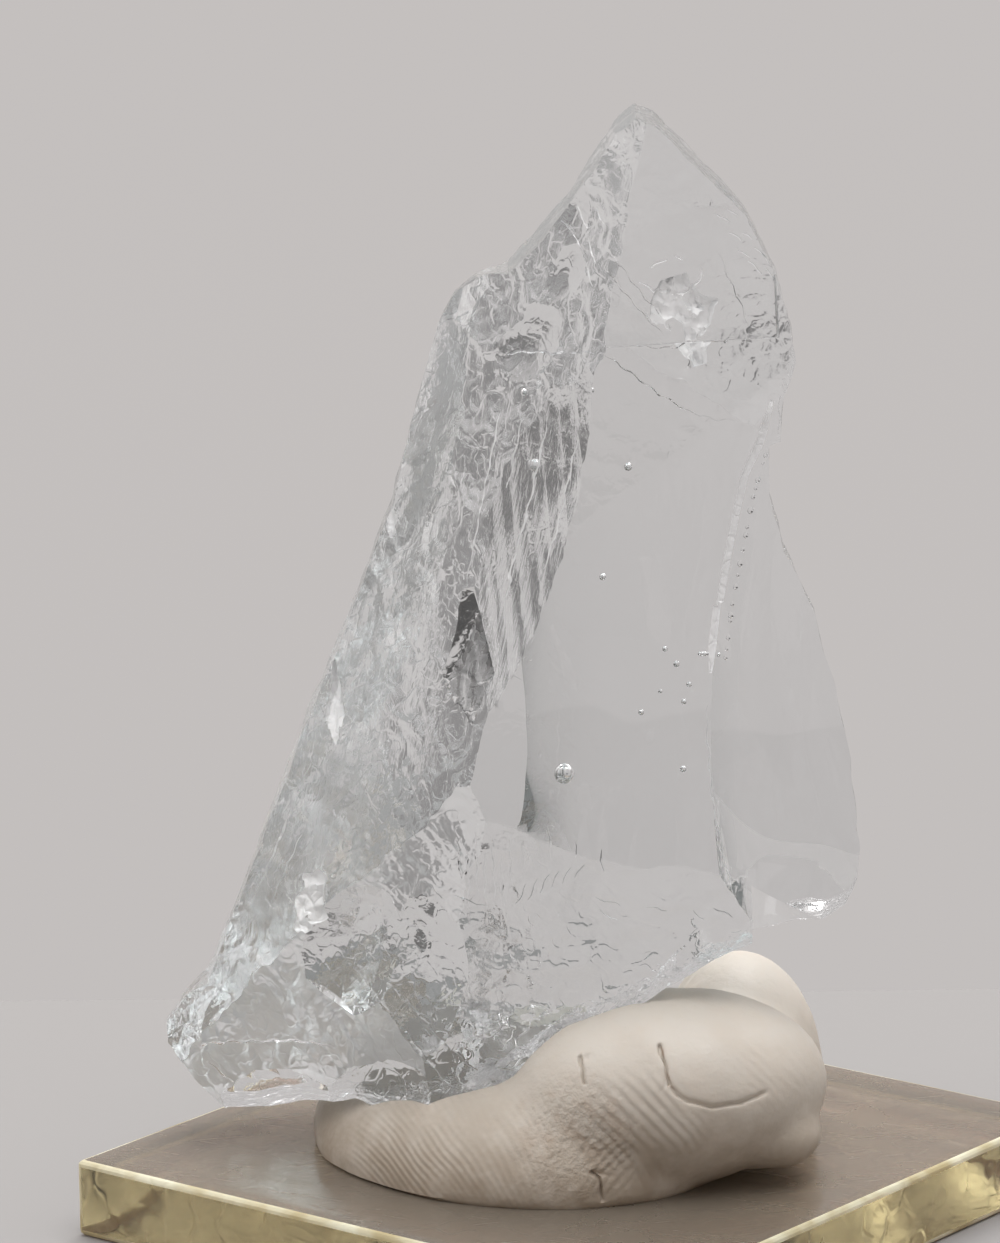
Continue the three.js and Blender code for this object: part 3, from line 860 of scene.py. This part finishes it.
def putty_shape(floor):
    """The putty lump in millimetres, pressed flat at the floor and round the rock's foot."""
    bm = bmesh.new()
    bmesh.ops.create_icosphere(bm, subdivisions=BALL_ROUNDS, radius=1)
    for near in (None, *CREASE_NEAR):
        for vert in bm.verts:
            vert.co.normalize()
        points = putty_surface(np.array([vert.co[:] for vert in bm.verts]))
        fine = points[:, 2] > floor
        if near:
            ways = [path_distance(points, crease["path"]) for crease in CREASES]
            fine &= np.min(ways, axis=0) < near
        bm.verts.index_update()
        chosen = [edge for edge in bm.edges if all(fine[vert.index] for vert in edge.verts)]
        bmesh.ops.subdivide_edges(bm, edges=chosen, cuts=1, use_grid_fill=True)
    bmesh.ops.triangulate(bm, faces=bm.faces)
    rays = np.array([vert.co.normalized()[:] for vert in bm.verts])
    points = putty_surface(rays)
    inwards = crease_depth(points) + pit_depth(points)
    for depth, length in DENTS:
        slant = 0.6 * points[:, 1]
        inwards += depth * waves(points[:, 0] + slant, points[:, 2] - slant, length)
    for vert, point in zip(bm.verts, points - rays * inwards[:, None]):
        vert.co = point
        vert.co.z = max(vert.co.z, floor)
    putty = link("clay_rest_putty", bm)
    take_off(putty, [broken_rock(SEAT_GAP)])
    spots = np.array([vert.co[:] for vert in putty.data.vertices])
    crease = putty.data.attributes.new("crease", "FLOAT", "POINT")
    crease.data.foreach_set("value", crease_depth(spots) + pit_depth(spots))
    return putty


# ---------------------------------------------------------------- the plate, in millimetres

PLATE_SIDE = 50.8
PLATE_THICK = 5.6
PLATE_TURN = 51.7
PLATE_EDGE = 0.45  # how wide its polished edges are
EDGE_STEPS = 28  # stretches that each long edge is divided into
EDGE_WANDER = 0.05  # how far hand polishing made them wander


def plate_shape():
    """A square slab with edges rounded by hand, which use the second material; the top uses the third."""
    bm = bmesh.new()
    bmesh.ops.create_cube(bm, size=1)
    bmesh.ops.scale(bm, vec=(PLATE_SIDE, PLATE_SIDE, PLATE_THICK), verts=bm.verts)
    bmesh.ops.translate(bm, vec=(0, 0, PLATE_THICK / 2), verts=bm.verts)
    long_edges = [edge for edge in bm.edges if edge.calc_length() > PLATE_THICK + 1]
    bmesh.ops.subdivide_edges(bm, edges=long_edges, cuts=EDGE_STEPS - 1, use_grid_fill=True)
    rim = [edge for edge in bm.edges if edge.calc_face_angle() > 1]
    bmesh.ops.bevel(
        bm, geom=rim, offset=PLATE_EDGE, affect="EDGES", segments=3, profile=0.5, material=-1
    )
    for face in bm.faces:
        rounded = max(abs(c) for c in face.normal) < 0.999
        face.material_index = 1 if rounded else 2 * int(face.normal.z > 0.999)
    for vert in bm.verts:
        if any(face.material_index == 1 for face in vert.link_faces):
            x, y, z = vert.co
            wander = EDGE_WANDER * float(waves(x + 3 * z, y - 2 * z, 6))
            vert.co.x -= math.copysign(abs(wander), x) * (abs(x) > PLATE_SIDE / 2 - 0.1)
            vert.co.y -= math.copysign(abs(wander), y) * (abs(y) > PLATE_SIDE / 2 - 0.1)
    bmesh.ops.rotate(bm, matrix=Matrix.Rotation(math.radians(PLATE_TURN), 3, "Z"), verts=bm.verts)
    bmesh.ops.triangulate(bm, faces=bm.faces)
    return link("plate_acrylic", bm)


# ---------------------------------------------------------------- materials: their values

# Heights and widths are in millimetres. A noise is its scale per metre, its detail and its roughness.

# The finest marks on broken glass.
TREMOR = (1600, 0.08)  # scale and height
HAIRLINES = [(330, 0.05, 0.045), (760, 0.06, 0.03)]  # scale, share of it that is a line, and height
STREAK_WAY = (-0.245, -0.264, -0.931)
STREAK_SCALES = (4200, 260)  # across and along
STREAKS = (1, 3, 0.6)  # the noise in those coordinates
STREAK_HEIGHT = 0.09

# Wear on the acrylic.
HAZE = (160, 4, 0.6)
SCRATCHES = [(62, 2600), (-75, 1900)]  # turn in degrees, and scale across
SCRATCH_ALONG = 60
SCRATCH_DEPTH = 0.004
SCRATCH_ROUGHNESS = 0.12
UNEVEN = (90, 0.1)  # scale and height
CURLS = (240, 0.05)  # scale, and share of it that is a line
CURL_HEIGHT = 0.03
ACRYLIC_IOR = 1.49
EDGE_PATCHES = (220, 3)
AGED = {"clean": 0.08, "hazed": 0.2}
WORN = {"clean": 0.3, "hazed": 0.5, "clarity": 0.35}
DUSTY = {"clean": 0.12, "hazed": 0.3, "clarity": 0.8}

# The putty.
PATCHES = (260, 4, 0.6)
STAINS = (700, 3)
# Painted shade low down on the putty's front: its patches, where it begins and where it is full.
LOW_SHADE_PATCHES = (180, 4, 0.7)
LOW_SHADE_HEIGHTS = (17.5, 6.5)  # where the painted shade begins and where it is full
LOW_SHADE_SIDE = (6, -1)  # the same from the back to the front
# Painted shade in the creases and pits: the depths where it begins and where it is full.
SHADED_DEPTHS = (0.08, 0.4)  # of creases
CRUMBS = [(900, 3, 0.7), (2100, 2, 0.5)]
CRUMB_HEIGHT = 0.17
BUMPS = [((900, 3), 0.07), ((3200, 3), 0.02)]  # each with its height
PRINT_WOBBLE = (130, 1.6)  # scale, and how far ridges stray
PRINT_WEAR = 300  # its scale
LIGHT_DEPTHS = (1.6, 1.1, 0.8)  # how deep red, green and blue light go in
SOFTNESS = 0.12  # the share of light that does

# ---------------------------------------------------------------- materials: nodes


def new_material(name):
    """A material, its node tree, its shader and its output."""
    material = bpy.data.materials.new(name)
    material.use_nodes = True
    tree = material.node_tree
    return material, tree, tree.nodes["Principled BSDF"], tree.nodes["Material Output"]


def give(tree, socket, value):
    """Link a socket to another one, or set it to a number or a colour."""
    if isinstance(value, bpy.types.NodeSocket):
        tree.links.new(value, socket)
    elif socket.type == "RGBA":
        socket.default_value = (*value, 1)
    else:
        socket.default_value = value


def math_node(tree, operation, *values, clamp=False):
    """The output of a Math node; each value is a socket or a number."""
    node = tree.nodes.new("ShaderNodeMath")
    node.operation = operation
    node.use_clamp = clamp
    for socket, value in zip(node.inputs, values):
        give(tree, socket, value)
    return node.outputs[0]


def attribute(tree, name):
    """A value that the mesh carries."""
    node = tree.nodes.new("ShaderNodeAttribute")
    node.attribute_name = name
    return node.outputs["Fac"]


def noise(tree, place, scale, detail=2, roughness=0.5):
    """Cloudy noise, mostly between 0.3 and 0.7."""
    node = tree.nodes.new("ShaderNodeTexNoise")
    node.inputs["Scale"].default_value = scale
    node.inputs["Detail"].default_value = detail
    node.inputs["Roughness"].default_value = roughness
    tree.links.new(place, node.inputs["Vector"])
    return node.outputs["Fac"]


def spread(tree, value, low, high, to_low=0, to_high=1):
    """A value's range from low to high, smoothly carried over to another range."""
    node = tree.nodes.new("ShaderNodeMapRange")
    node.interpolation_type = "SMOOTHSTEP"
    for socket, number in zip(node.inputs[1:5], (low, high, to_low, to_high)):
        socket.default_value = number
    tree.links.new(value, node.inputs["Value"])
    return node.outputs["Result"]


def distance(tree, place, point):
    """How far a place is from a point in millimetres, in metres."""
    node = tree.nodes.new("ShaderNodeVectorMath")
    node.operation = "DISTANCE"
    node.inputs[1].default_value = Vector(point) * MM
    tree.links.new(place, node.inputs[0])
    return node.outputs["Value"]


def mixed(tree, share, first, second, blend="MIX"):
    """Two colours, each a socket or fixed, mixed by a share that is a socket or a number."""
    node = tree.nodes.new("ShaderNodeMix")
    node.data_type = "RGBA"
    node.blend_type = blend
    give(tree, node.inputs["Factor"], share)
    give(tree, node.inputs[6], first)
    give(tree, node.inputs[7], second)
    return node.outputs[2]


def hairlines(tree, place, scale, width):
    """Thin curling lines, 0 in them and 1 between them."""
    away = math_node(tree, "ABSOLUTE", math_node(tree, "SUBTRACT", noise(tree, place, scale, 1), 0.5))
    return spread(tree, away, 0, width)


def stretched(tree, place, way, across, along):
    """Coordinates that run fast across a direction and slowly along it."""
    mapping = tree.nodes.new("ShaderNodeMapping")
    mapping.vector_type = "TEXTURE"
    mapping.inputs["Rotation"].default_value = Vector(way).to_track_quat("Z", "Y").to_euler()
    mapping.inputs["Scale"].default_value = (1 / across, 1 / across, 1 / along)
    tree.links.new(place, mapping.inputs["Vector"])
    return mapping.outputs["Vector"]


def scratches(tree, place, turn, across):
    """Sparse straight scratches, 1 in them and 0 between them."""
    mapping = tree.nodes.new("ShaderNodeMapping")
    mapping.vector_type = "TEXTURE"
    mapping.inputs["Rotation"].default_value = (0, 0, math.radians(turn))
    mapping.inputs["Scale"].default_value = (1 / across, 1 / SCRATCH_ALONG, 1 / SCRATCH_ALONG)
    tree.links.new(place, mapping.inputs["Vector"])
    lines = noise(tree, mapping.outputs["Vector"], 1, 3, 0.6)
    return spread(tree, lines, 0.64, 0.7)


# ---------------------------------------------------------------- materials: shared effects


def effect(name, inputs, outputs):
    """A new shader node group that reads a place and some values; returns it and its two ends."""
    group = bpy.data.node_groups.new(name, "ShaderNodeTree")
    group.interface.new_socket(name="Place", in_out="INPUT", socket_type="NodeSocketVector")
    for socket in inputs:
        group.interface.new_socket(name=socket, in_out="INPUT", socket_type="NodeSocketFloat")
    for socket in outputs:
        group.interface.new_socket(name=socket, in_out="OUTPUT", socket_type="NodeSocketFloat")
    return group, group.nodes.new("NodeGroupInput").outputs, group.nodes.new("NodeGroupOutput").inputs


def put_in(tree, group, place, **values):
    """Place an effect's group in a material with its own values; returns its outputs."""
    node = tree.nodes.new("ShaderNodeGroup")
    node.node_tree = group
    tree.links.new(place, node.inputs["Place"])
    for name, value in values.items():
        give(tree, node.inputs[name.capitalize()], value)
    return node.outputs


def grain_effect():
    """The finest relief of broken glass: tremor, curling hairlines, and streaks along the crystal."""
    group, given, made = effect("glass_grain", ("Grain", "Streaks"), ("Height",))
    rise = math_node(group, "MULTIPLY", noise(group, given["Place"], TREMOR[0]), TREMOR[1] * MM)
    for scale, width, height in HAIRLINES:
        lines = hairlines(group, given["Place"], scale, width)
        rise = math_node(group, "MULTIPLY_ADD", lines, height * MM, rise)
    rise = math_node(group, "MULTIPLY", rise, given["Grain"])
    along = stretched(group, given["Place"], STREAK_WAY, *STREAK_SCALES)
    streaks = math_node(group, "MULTIPLY", noise(group, along, *STREAKS), given["Streaks"])
    rise = math_node(group, "MULTIPLY_ADD", streaks, STREAK_HEIGHT * MM, rise)
    group.links.new(rise, made["Height"])
    return group


def wear_effect():
    """Handling wear on acrylic: a cloudy haze, sparse scratches and a slightly uneven surface."""
    group, given, made = effect("acrylic_wear", ("Clean", "Hazed", "Curls"), ("Roughness", "Height"))
    place = given["Place"]
    cloud = spread(group, noise(group, place, *HAZE), 0.3, 0.7)
    added = math_node(group, "SUBTRACT", given["Hazed"], given["Clean"])
    cloud = math_node(group, "MULTIPLY_ADD", cloud, added, given["Clean"])
    lines = math_node(group, "MAXIMUM", *(scratches(group, place, *one) for one in SCRATCHES))
    roughness = math_node(group, "MULTIPLY_ADD", lines, SCRATCH_ROUGHNESS, cloud)
    group.links.new(roughness, made["Roughness"])
    height = math_node(group, "MULTIPLY", lines, -SCRATCH_DEPTH * MM)
    height = math_node(group, "MULTIPLY_ADD", noise(group, place, UNEVEN[0]), UNEVEN[1] * MM, height)
    height = math_node(group, "MULTIPLY_ADD", hairlines(group, place, *CURLS), given["Curls"], height)
    group.links.new(height, made["Height"])
    return group


# ---------------------------------------------------------------- materials: each of them


def bumped(tree, shader, height):
    """Let a height in metres turn the shader's normal."""
    bump = tree.nodes.new("ShaderNodeBump")
    bump.inputs["Distance"].default_value = 1
    tree.links.new(height, bump.inputs["Height"])
    tree.links.new(bump.outputs["Normal"], shader.inputs["Normal"])


def absorbing(tree, output, settings):
    """Let thick stretches take on the settings' depth tint."""
    depth = tree.nodes.new("ShaderNodeVolumeAbsorption")
    depth.inputs["Color"].default_value = (*settings.depth_tint, 1)
    depth.inputs["Density"].default_value = settings.depth_density
    tree.links.new(depth.outputs["Volume"], output.inputs["Volume"])


def crystal_material(settings, grain, name, clarity, roughness):
    """Glass of some clarity, with curling hairlines and a fine tremor where the breaks are hackled."""
    material, tree, shader, output = new_material(name)
    shader.inputs["Base Color"].default_value = (*settings.tint, 1)
    shader.inputs["Roughness"].default_value = roughness
    shader.inputs["IOR"].default_value = settings.ior
    shader.inputs["Transmission Weight"].default_value = clarity
    absorbing(tree, output, settings)
    place = tree.nodes.new("ShaderNodeTexCoord").outputs["Object"]
    marks = {mark: attribute(tree, mark) for mark in ("grain", "streaks")}
    bumped(tree, shader, put_in(tree, grain, place, **marks)["Height"])
    return material


def finger_print(tree, place, one):
    """The height of one finger print's ridges, in metres."""
    away = distance(tree, place, one["at"])
    mask = spread(tree, away, one["radius"] * MM, 0.35 * one["radius"] * MM)
    wobble = math_node(tree, "MULTIPLY", noise(tree, place, PRINT_WOBBLE[0]), PRINT_WOBBLE[1] * MM)
    run = math_node(tree, "ADD", distance(tree, place, one["round"]), wobble)
    turns = math_node(tree, "MULTIPLY", run, 2 * math.pi / (one["spacing"] * MM))
    wave = math_node(tree, "MULTIPLY", math_node(tree, "SINE", turns), one["height"] * MM / 2)
    worn = spread(tree, noise(tree, place, PRINT_WEAR), 0.3, 0.55, 0.25, 1)
    return math_node(tree, "MULTIPLY", math_node(tree, "MULTIPLY", wave, mask), worn)


def low_shade(tree, place):
    """How strongly painted shade darkens the putty: its low, open parts on the seen side, and not the
    crystal's seat.
    """
    parts = tree.nodes.new("ShaderNodeSeparateXYZ")
    tree.links.new(place, parts.inputs["Vector"])
    low = spread(tree, parts.outputs["Z"], *(z * MM for z in LOW_SHADE_HEIGHTS))
    uneven = spread(tree, noise(tree, place, *LOW_SHADE_PATCHES), 0.3, 0.6, 0.55, 1)
    open_air = math_node(tree, "SUBTRACT", 1, attribute(tree, "fracture"), clamp=True)
    seen = spread(tree, parts.outputs["Y"], *(y * MM for y in LOW_SHADE_SIDE))
    open_air = math_node(tree, "MULTIPLY", open_air, seen)
    return math_node(tree, "MULTIPLY", math_node(tree, "MULTIPLY", low, uneven), open_air)


def putty_material(settings):
    """Kneaded ivory putty: finger ridges, dull patches, stains, and painted shade in its creases and pits
    and low on its front.
    """
    material, tree, shader, _ = new_material("ivory_putty")
    place = tree.nodes.new("ShaderNodeTexCoord").outputs["Object"]
    patches = spread(tree, noise(tree, place, *PATCHES), 0.35, 0.7)
    middle, radius = KNEADED
    kneaded = spread(tree, distance(tree, place, middle), radius * MM, 0.3 * radius * MM)

    stains = spread(tree, noise(tree, place, *STAINS), 0.42, 0.7, 0, 0.45)
    layers = [
        (math_node(tree, "MULTIPLY", patches, 0.35), settings.patch_colour),
        (math_node(tree, "MULTIPLY", stains, kneaded), settings.stain_colour),
        # Painted shade: darker low down on the putty's front, away from the crystal's seat.
        (low_shade(tree, place), settings.low_shade_colour),
        # Painted shade: darker in the creases and pits.
        (spread(tree, attribute(tree, "crease"), *SHADED_DEPTHS, 0, 0.85), settings.crease_shade_colour),
    ]
    colour = settings.colour
    for share, layer in layers:
        colour = mixed(tree, share, colour, layer)
    tree.links.new(colour, shader.inputs["Base Color"])

    ridges = finger_print(tree, place, PRINTS[0])
    for one in PRINTS[1:]:
        ridges = math_node(tree, "ADD", ridges, finger_print(tree, place, one))
    crumbs = math_node(tree, "ADD", *(noise(tree, place, *one) for one in CRUMBS))
    crumbs = math_node(tree, "MULTIPLY", crumbs, kneaded)
    ridges = math_node(tree, "MULTIPLY_ADD", crumbs, CRUMB_HEIGHT * MM, ridges)
    for bumps, height in BUMPS:
        ridges = math_node(tree, "MULTIPLY_ADD", noise(tree, place, *bumps), height * MM, ridges)
    bumped(tree, shader, ridges)
    tree.links.new(spread(tree, patches, 0, 1, 0.5, 0.68), shader.inputs["Roughness"])
    shader.inputs["Subsurface Weight"].default_value = SOFTNESS
    shader.inputs["Subsurface Radius"].default_value = Vector(LIGHT_DEPTHS) * MM
    return material


def acrylic_material(settings, wear, name, clean, hazed, clarity=1, curls=CURL_HEIGHT):
    """Clear acrylic, yellowed through and through, with handling scratches and a worn haze."""
    material, tree, shader, output = new_material(name)
    place = tree.nodes.new("ShaderNodeTexCoord").outputs["Object"]
    shader.inputs["Base Color"].default_value = (*settings.tint, 1)
    shader.inputs["IOR"].default_value = ACRYLIC_IOR
    shader.inputs["Transmission Weight"].default_value = clarity
    worn = put_in(tree, wear, place, clean=clean, hazed=hazed, curls=curls * MM)
    tree.links.new(worn["Roughness"], shader.inputs["Roughness"])
    bumped(tree, shader, worn["Height"])
    absorbing(tree, output, settings)
    return material, tree, shader, place


def worn_edge_material(settings, wear):
    """The hand-polished edges, which scatter a pale yellow light."""
    material, tree, shader, place = acrylic_material(settings, wear, "worn_acrylic_edge", **WORN)
    bright = spread(tree, noise(tree, place, *EDGE_PATCHES), 0.35, 0.65)
    colour = mixed(tree, bright, settings.edge_colour, settings.edge_glint)
    tree.links.new(colour, shader.inputs["Base Color"])
    return material


def dusty_material(settings, wear):
    """The top, under a film of pale dust."""
    material, _, shader, _ = acrylic_material(settings, wear, "dusty_acrylic", **DUSTY, curls=0)
    shader.inputs["Base Color"].default_value = (*settings.dust_colour, 1)
    return material


def matt_material(name, colour):
    """One plain colour without a shine."""
    material, _, shader, _ = new_material(name)
    shader.inputs["Base Color"].default_value = (*colour, 1)
    shader.inputs["Roughness"].default_value = 0.9
    return material


# ---------------------------------------------------------------- the stage, in metres

TABLE_SIZE = (2, 1.2, 0.02)
TABLE_BACK = 0.055  # how far the table goes behind the middle of the plate
CONTACT = 0.05 * MM  # between the table and the plate
LENS = 202.73
SENSOR = 36
AIM = Vector((-0.0048, 0, 0.0439))
DISTANCE = 0.4965
ELEVATION = 13.5
ROLL = -0.7

# Soft lights: name, place, size and power in watts. All point at LIGHT_AIM.
LIGHTS = [
    ("key", (0.15, -0.1, 0.8), (0.6, 0.6), 3.1),
    ("fill", (-0.8, -0.2, 0.6), (0.6, 0.6), 2.4),
    ("top", (0, 0.35, 0.9), (0.6, 0.5), 5.2),
]
LIGHT_AIM = Vector((0, 0, 0.04))

# The room, as greys over a direction's height, its way to the back and its way to the right, where 0.5 is
# level or straight ahead. The cards are dark only where both their height and their side are.
WALL = (0.574, 0.547, 0.537)
ROOM_HEIGHTS = [(0, 0.8), (0.345, 0.95), (0.6, 1), (0.72, 1), (0.9, 2)]
ROOM_FAR = [(0.2, 0.7), (0.6, 1)]
CARD_HEIGHTS = [(0.02, 1), (0.2, 0.6), (0.28, 0.12), (0.33, 0.12), (0.352, 1)]
CARD_SIDES = [(0.43, 0.95), (0.492, 0.12), (0.6, 0.12), (0.7, 0.95)]


def add_light(name, place, size, power):
    """A rectangular soft light."""
    light = bpy.data.lights.new(name, "AREA")
    light.shape = "RECTANGLE"
    light.size, light.size_y = size
    light.energy = power
    lamp = bpy.data.objects.new(name, light)
    bpy.context.scene.collection.objects.link(lamp)
    lamp.location = place
    lamp.rotation_mode = "QUATERNION"
    lamp.rotation_quaternion = (LIGHT_AIM - Vector(place)).to_track_quat("-Z", "Y")


def ramp(tree, value, stops):
    """A colour ramp of greys over a value, from pairs of place and grey."""
    node = tree.nodes.new("ShaderNodeValToRGB")
    node.color_ramp.interpolation = "EASE"
    elements = node.color_ramp.elements
    for _ in stops[2:]:
        elements.new(1)
    for element, (place, grey) in zip(elements, stops):
        element.position = place
        element.color = (grey, grey, grey, 1)
    tree.links.new(value, node.inputs["Fac"])
    return node.outputs["Color"]


def room_world():
    """A pale wall behind the table, a dimmer room in front of it, and dark cards low down."""
    world = bpy.data.worlds.new("room")
    world.use_nodes = True
    tree = world.node_tree
    place = tree.nodes.new("ShaderNodeTexCoord")
    half = tree.nodes.new("ShaderNodeVectorMath")
    half.operation = "MULTIPLY_ADD"
    for socket in half.inputs[1:3]:
        socket.default_value = (0.5, 0.5, 0.5)
    parts = tree.nodes.new("ShaderNodeSeparateXYZ")
    tree.links.new(place.outputs["Generated"], half.inputs[0])
    tree.links.new(half.outputs["Vector"], parts.inputs["Vector"])
    height, side, far = (parts.outputs[axis] for axis in "ZXY")
    card = mixed(tree, 1, ramp(tree, height, CARD_HEIGHTS), ramp(tree, side, CARD_SIDES), "LIGHTEN")
    room = mixed(tree, 1, ramp(tree, height, ROOM_HEIGHTS), ramp(tree, far, ROOM_FAR), "MULTIPLY")
    walls = mixed(tree, 1, mixed(tree, 1, room, card, "MULTIPLY"), WALL, "MULTIPLY")
    tree.links.new(walls, tree.nodes["Background"].inputs["Color"])
    return world


def add_floor(colour):
    """The table top, which ends a little behind the plate."""
    bm = bmesh.new()
    bmesh.ops.create_cube(bm, size=1)
    bmesh.ops.scale(bm, vec=TABLE_SIZE, verts=bm.verts)
    drop = Vector((0, TABLE_BACK - TABLE_SIZE[1] / 2, -TABLE_SIZE[2] / 2 - CONTACT))
    bmesh.ops.translate(bm, verts=bm.verts, vec=drop)
    floor = link("floor", bm)
    floor.data.materials.append(matt_material("floor", colour))


def add_camera():
    """The camera, which looks a little down at the front."""
    data = bpy.data.cameras.new("camera")
    camera = bpy.data.objects.new("camera", data)
    bpy.context.scene.collection.objects.link(camera)
    data.lens, data.sensor_width = LENS, SENSOR
    data.clip_start, data.clip_end = 0.01, 20
    back = facing(0, ELEVATION)
    camera.location = AIM + back * DISTANCE
    camera.rotation_mode = "QUATERNION"
    roll = Quaternion((0, 0, 1), math.radians(ROLL))
    camera.rotation_quaternion = (-back).to_track_quat("-Z", "Y") @ roll
    return camera


# ---------------------------------------------------------------- settings


def colour_of(name, description, default):
    """A setting that holds a colour."""
    return FloatVectorProperty(
        name=name, description=description, default=default, subtype="COLOR", min=0, max=1
    )


def density_of(description, default):
    """A setting that says how fast something see-through takes on its depth tint."""
    return FloatProperty(name="Depth density", description=description, default=default, min=0)


class CrystalSettings(bpy.types.PropertyGroup):
    tint: colour_of("Tint", "Colour of the clear glass itself", (0.972, 0.983, 0.992))
    depth_tint: colour_of("Depth tint", "Colour that thick glass takes on", (0.86, 0.88, 0.88))
    depth_density: density_of("How fast thick glass takes on that colour, per metre", 8)
    ior: FloatProperty(name="IOR", description="Index of refraction", default=1.5, min=1, max=2.5)


class PuttySettings(bpy.types.PropertyGroup):
    colour: colour_of("Colour", "Colour of the modelling putty", (0.642, 0.598, 0.535))
    patch_colour: colour_of("Patch colour", "Colour of the dull patches", (0.62, 0.55, 0.47))
    stain_colour: colour_of("Stain colour", "Colour of the stains where it was kneaded", (0.5, 0.36, 0.27))
    # Painted shade: the colour that darkens the putty low down on its front.
    low_shade_colour: colour_of("Soil colour", "Colour that handling left low down", (0.36, 0.3, 0.235))
    # Painted shade: the colour that darkens the creases and pits.
    crease_shade_colour: colour_of("Crease colour", "Colour of what gathered in creases", (0.2, 0.12, 0.07))


class PlateSettings(bpy.types.PropertyGroup):
    tint: colour_of("Tint", "Colour of the acrylic's surface", (0.95, 0.93, 0.88))
    depth_tint: colour_of("Depth tint", "Yellow of the aged acrylic along its edges", (0.95, 0.86, 0.45))
    depth_density: density_of("How fast the acrylic takes on that yellow, per metre", 24)
    edge_colour: colour_of("Edge colour", "Colour of the polished edges", (0.62, 0.52, 0.28))
    edge_glint: colour_of("Edge glint", "Colour of their brightest stretches", (0.98, 0.95, 0.72))
    dust_colour: colour_of("Dust colour", "Colour of the dusty top", (0.68, 0.585, 0.47))


class StageSettings(bpy.types.PropertyGroup):
    floor_colour: colour_of("Floor colour", "Colour of the plain pale floor", (0.288, 0.28, 0.276))


# ---------------------------------------------------------------- operators


def dress(piece, material):
    """Give a piece its main material, its slot's name and the body that it belongs to."""
    piece.data.materials.append(material)
    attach(piece, BODY)


class DISPLAY_OT_crystal(bpy.types.Operator):
    """Build the crystal and give it its clear glass"""

    bl_idname = "display.crystal"
    bl_label = "Crystal"

    def execute(self, context):
        rock, fractures = crystal_shape()
        finish_crystal(rock, fractures)
        rock.name = "crystal_glass"
        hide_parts("crystal")
        settings, grain = context.scene.crystal, grain_effect()
        dress(rock, crystal_material(settings, grain, "clear_glass", 1, 0))
        for name, _, clarity, roughness in GLASSES:
            rock.data.materials.append(crystal_material(settings, grain, name, clarity, roughness))
        return {"FINISHED"}


class DISPLAY_OT_putty(bpy.types.Operator):
    """Build the lump of putty that the crystal is pressed into"""

    bl_idname = "display.putty"
    bl_label = "Putty"

    def execute(self, context):
        putty = putty_shape(PLATE_THICK)
        putty.data.transform(Matrix.Scale(MM, 4))
        smooth(putty, PUTTY_CREASE_ANGLE)
        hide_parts("clay_rest")
        dress(putty, putty_material(context.scene.putty))
        return {"FINISHED"}


class DISPLAY_OT_plate(bpy.types.Operator):
    """Build the plate of aged clear acrylic with its worn edges"""

    bl_idname = "display.plate"
    bl_label = "Plate"

    def execute(self, context):
        plate = plate_shape()
        plate.data.transform(Matrix.Scale(MM, 4))
        smooth(plate)
        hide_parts("base_plate")
        settings, wear = context.scene.plate, wear_effect()
        sides, *_ = acrylic_material(settings, wear, "aged_acrylic", **AGED)
        dress(plate, sides)
        plate.data.materials.append(worn_edge_material(settings, wear))
        plate.data.materials.append(dusty_material(settings, wear))
        return {"FINISHED"}


class DISPLAY_OT_stage(bpy.types.Operator):
    """Set up the pale floor, the soft studio light and the camera"""

    bl_idname = "display.stage"
    bl_label = "Stage"

    def execute(self, context):
        add_floor(context.scene.stage.floor_colour)
        for light in LIGHTS:
            add_light(*light)
        context.scene.world = room_world()
        context.scene.camera = add_camera()
        context.scene.view_settings.view_transform = "Standard"
        return {"FINISHED"}


# Each operator's name, in the order that they run, with its settings.
SETTINGS = {
    "crystal": CrystalSettings, "putty": PuttySettings, "plate": PlateSettings, "stage": StageSettings,
}


class DISPLAY_PT_pieces(bpy.types.Panel):
    """Lists the pieces and the stage with their settings"""

    bl_idname = "DISPLAY_PT_pieces"
    bl_label = "Crystal on a display rest"
    bl_space_type = "VIEW_3D"
    bl_region_type = "UI"
    bl_category = "Crystal"

    def draw(self, context):
        for part in SETTINGS:
            box = self.layout.box()
            box.operator(f"display.{part}")
            group = getattr(context.scene, part)
            for name in group.__annotations__:
                box.prop(group, name)


CLASSES = [
    *SETTINGS.values(), DISPLAY_OT_crystal, DISPLAY_OT_putty, DISPLAY_OT_plate, DISPLAY_OT_stage,
    DISPLAY_PT_pieces,
]


def register():
    for each in CLASSES:
        bpy.utils.register_class(each)
    for name, group in SETTINGS.items():
        setattr(bpy.types.Scene, name, PointerProperty(type=group))


def unregister():
    for name in SETTINGS:
        delattr(bpy.types.Scene, name)
    for each in reversed(CLASSES):
        bpy.utils.unregister_class(each)


def main():
    register()
    for part in SETTINGS:
        getattr(bpy.ops.display, part)()


if __name__ == "__main__":
    main()
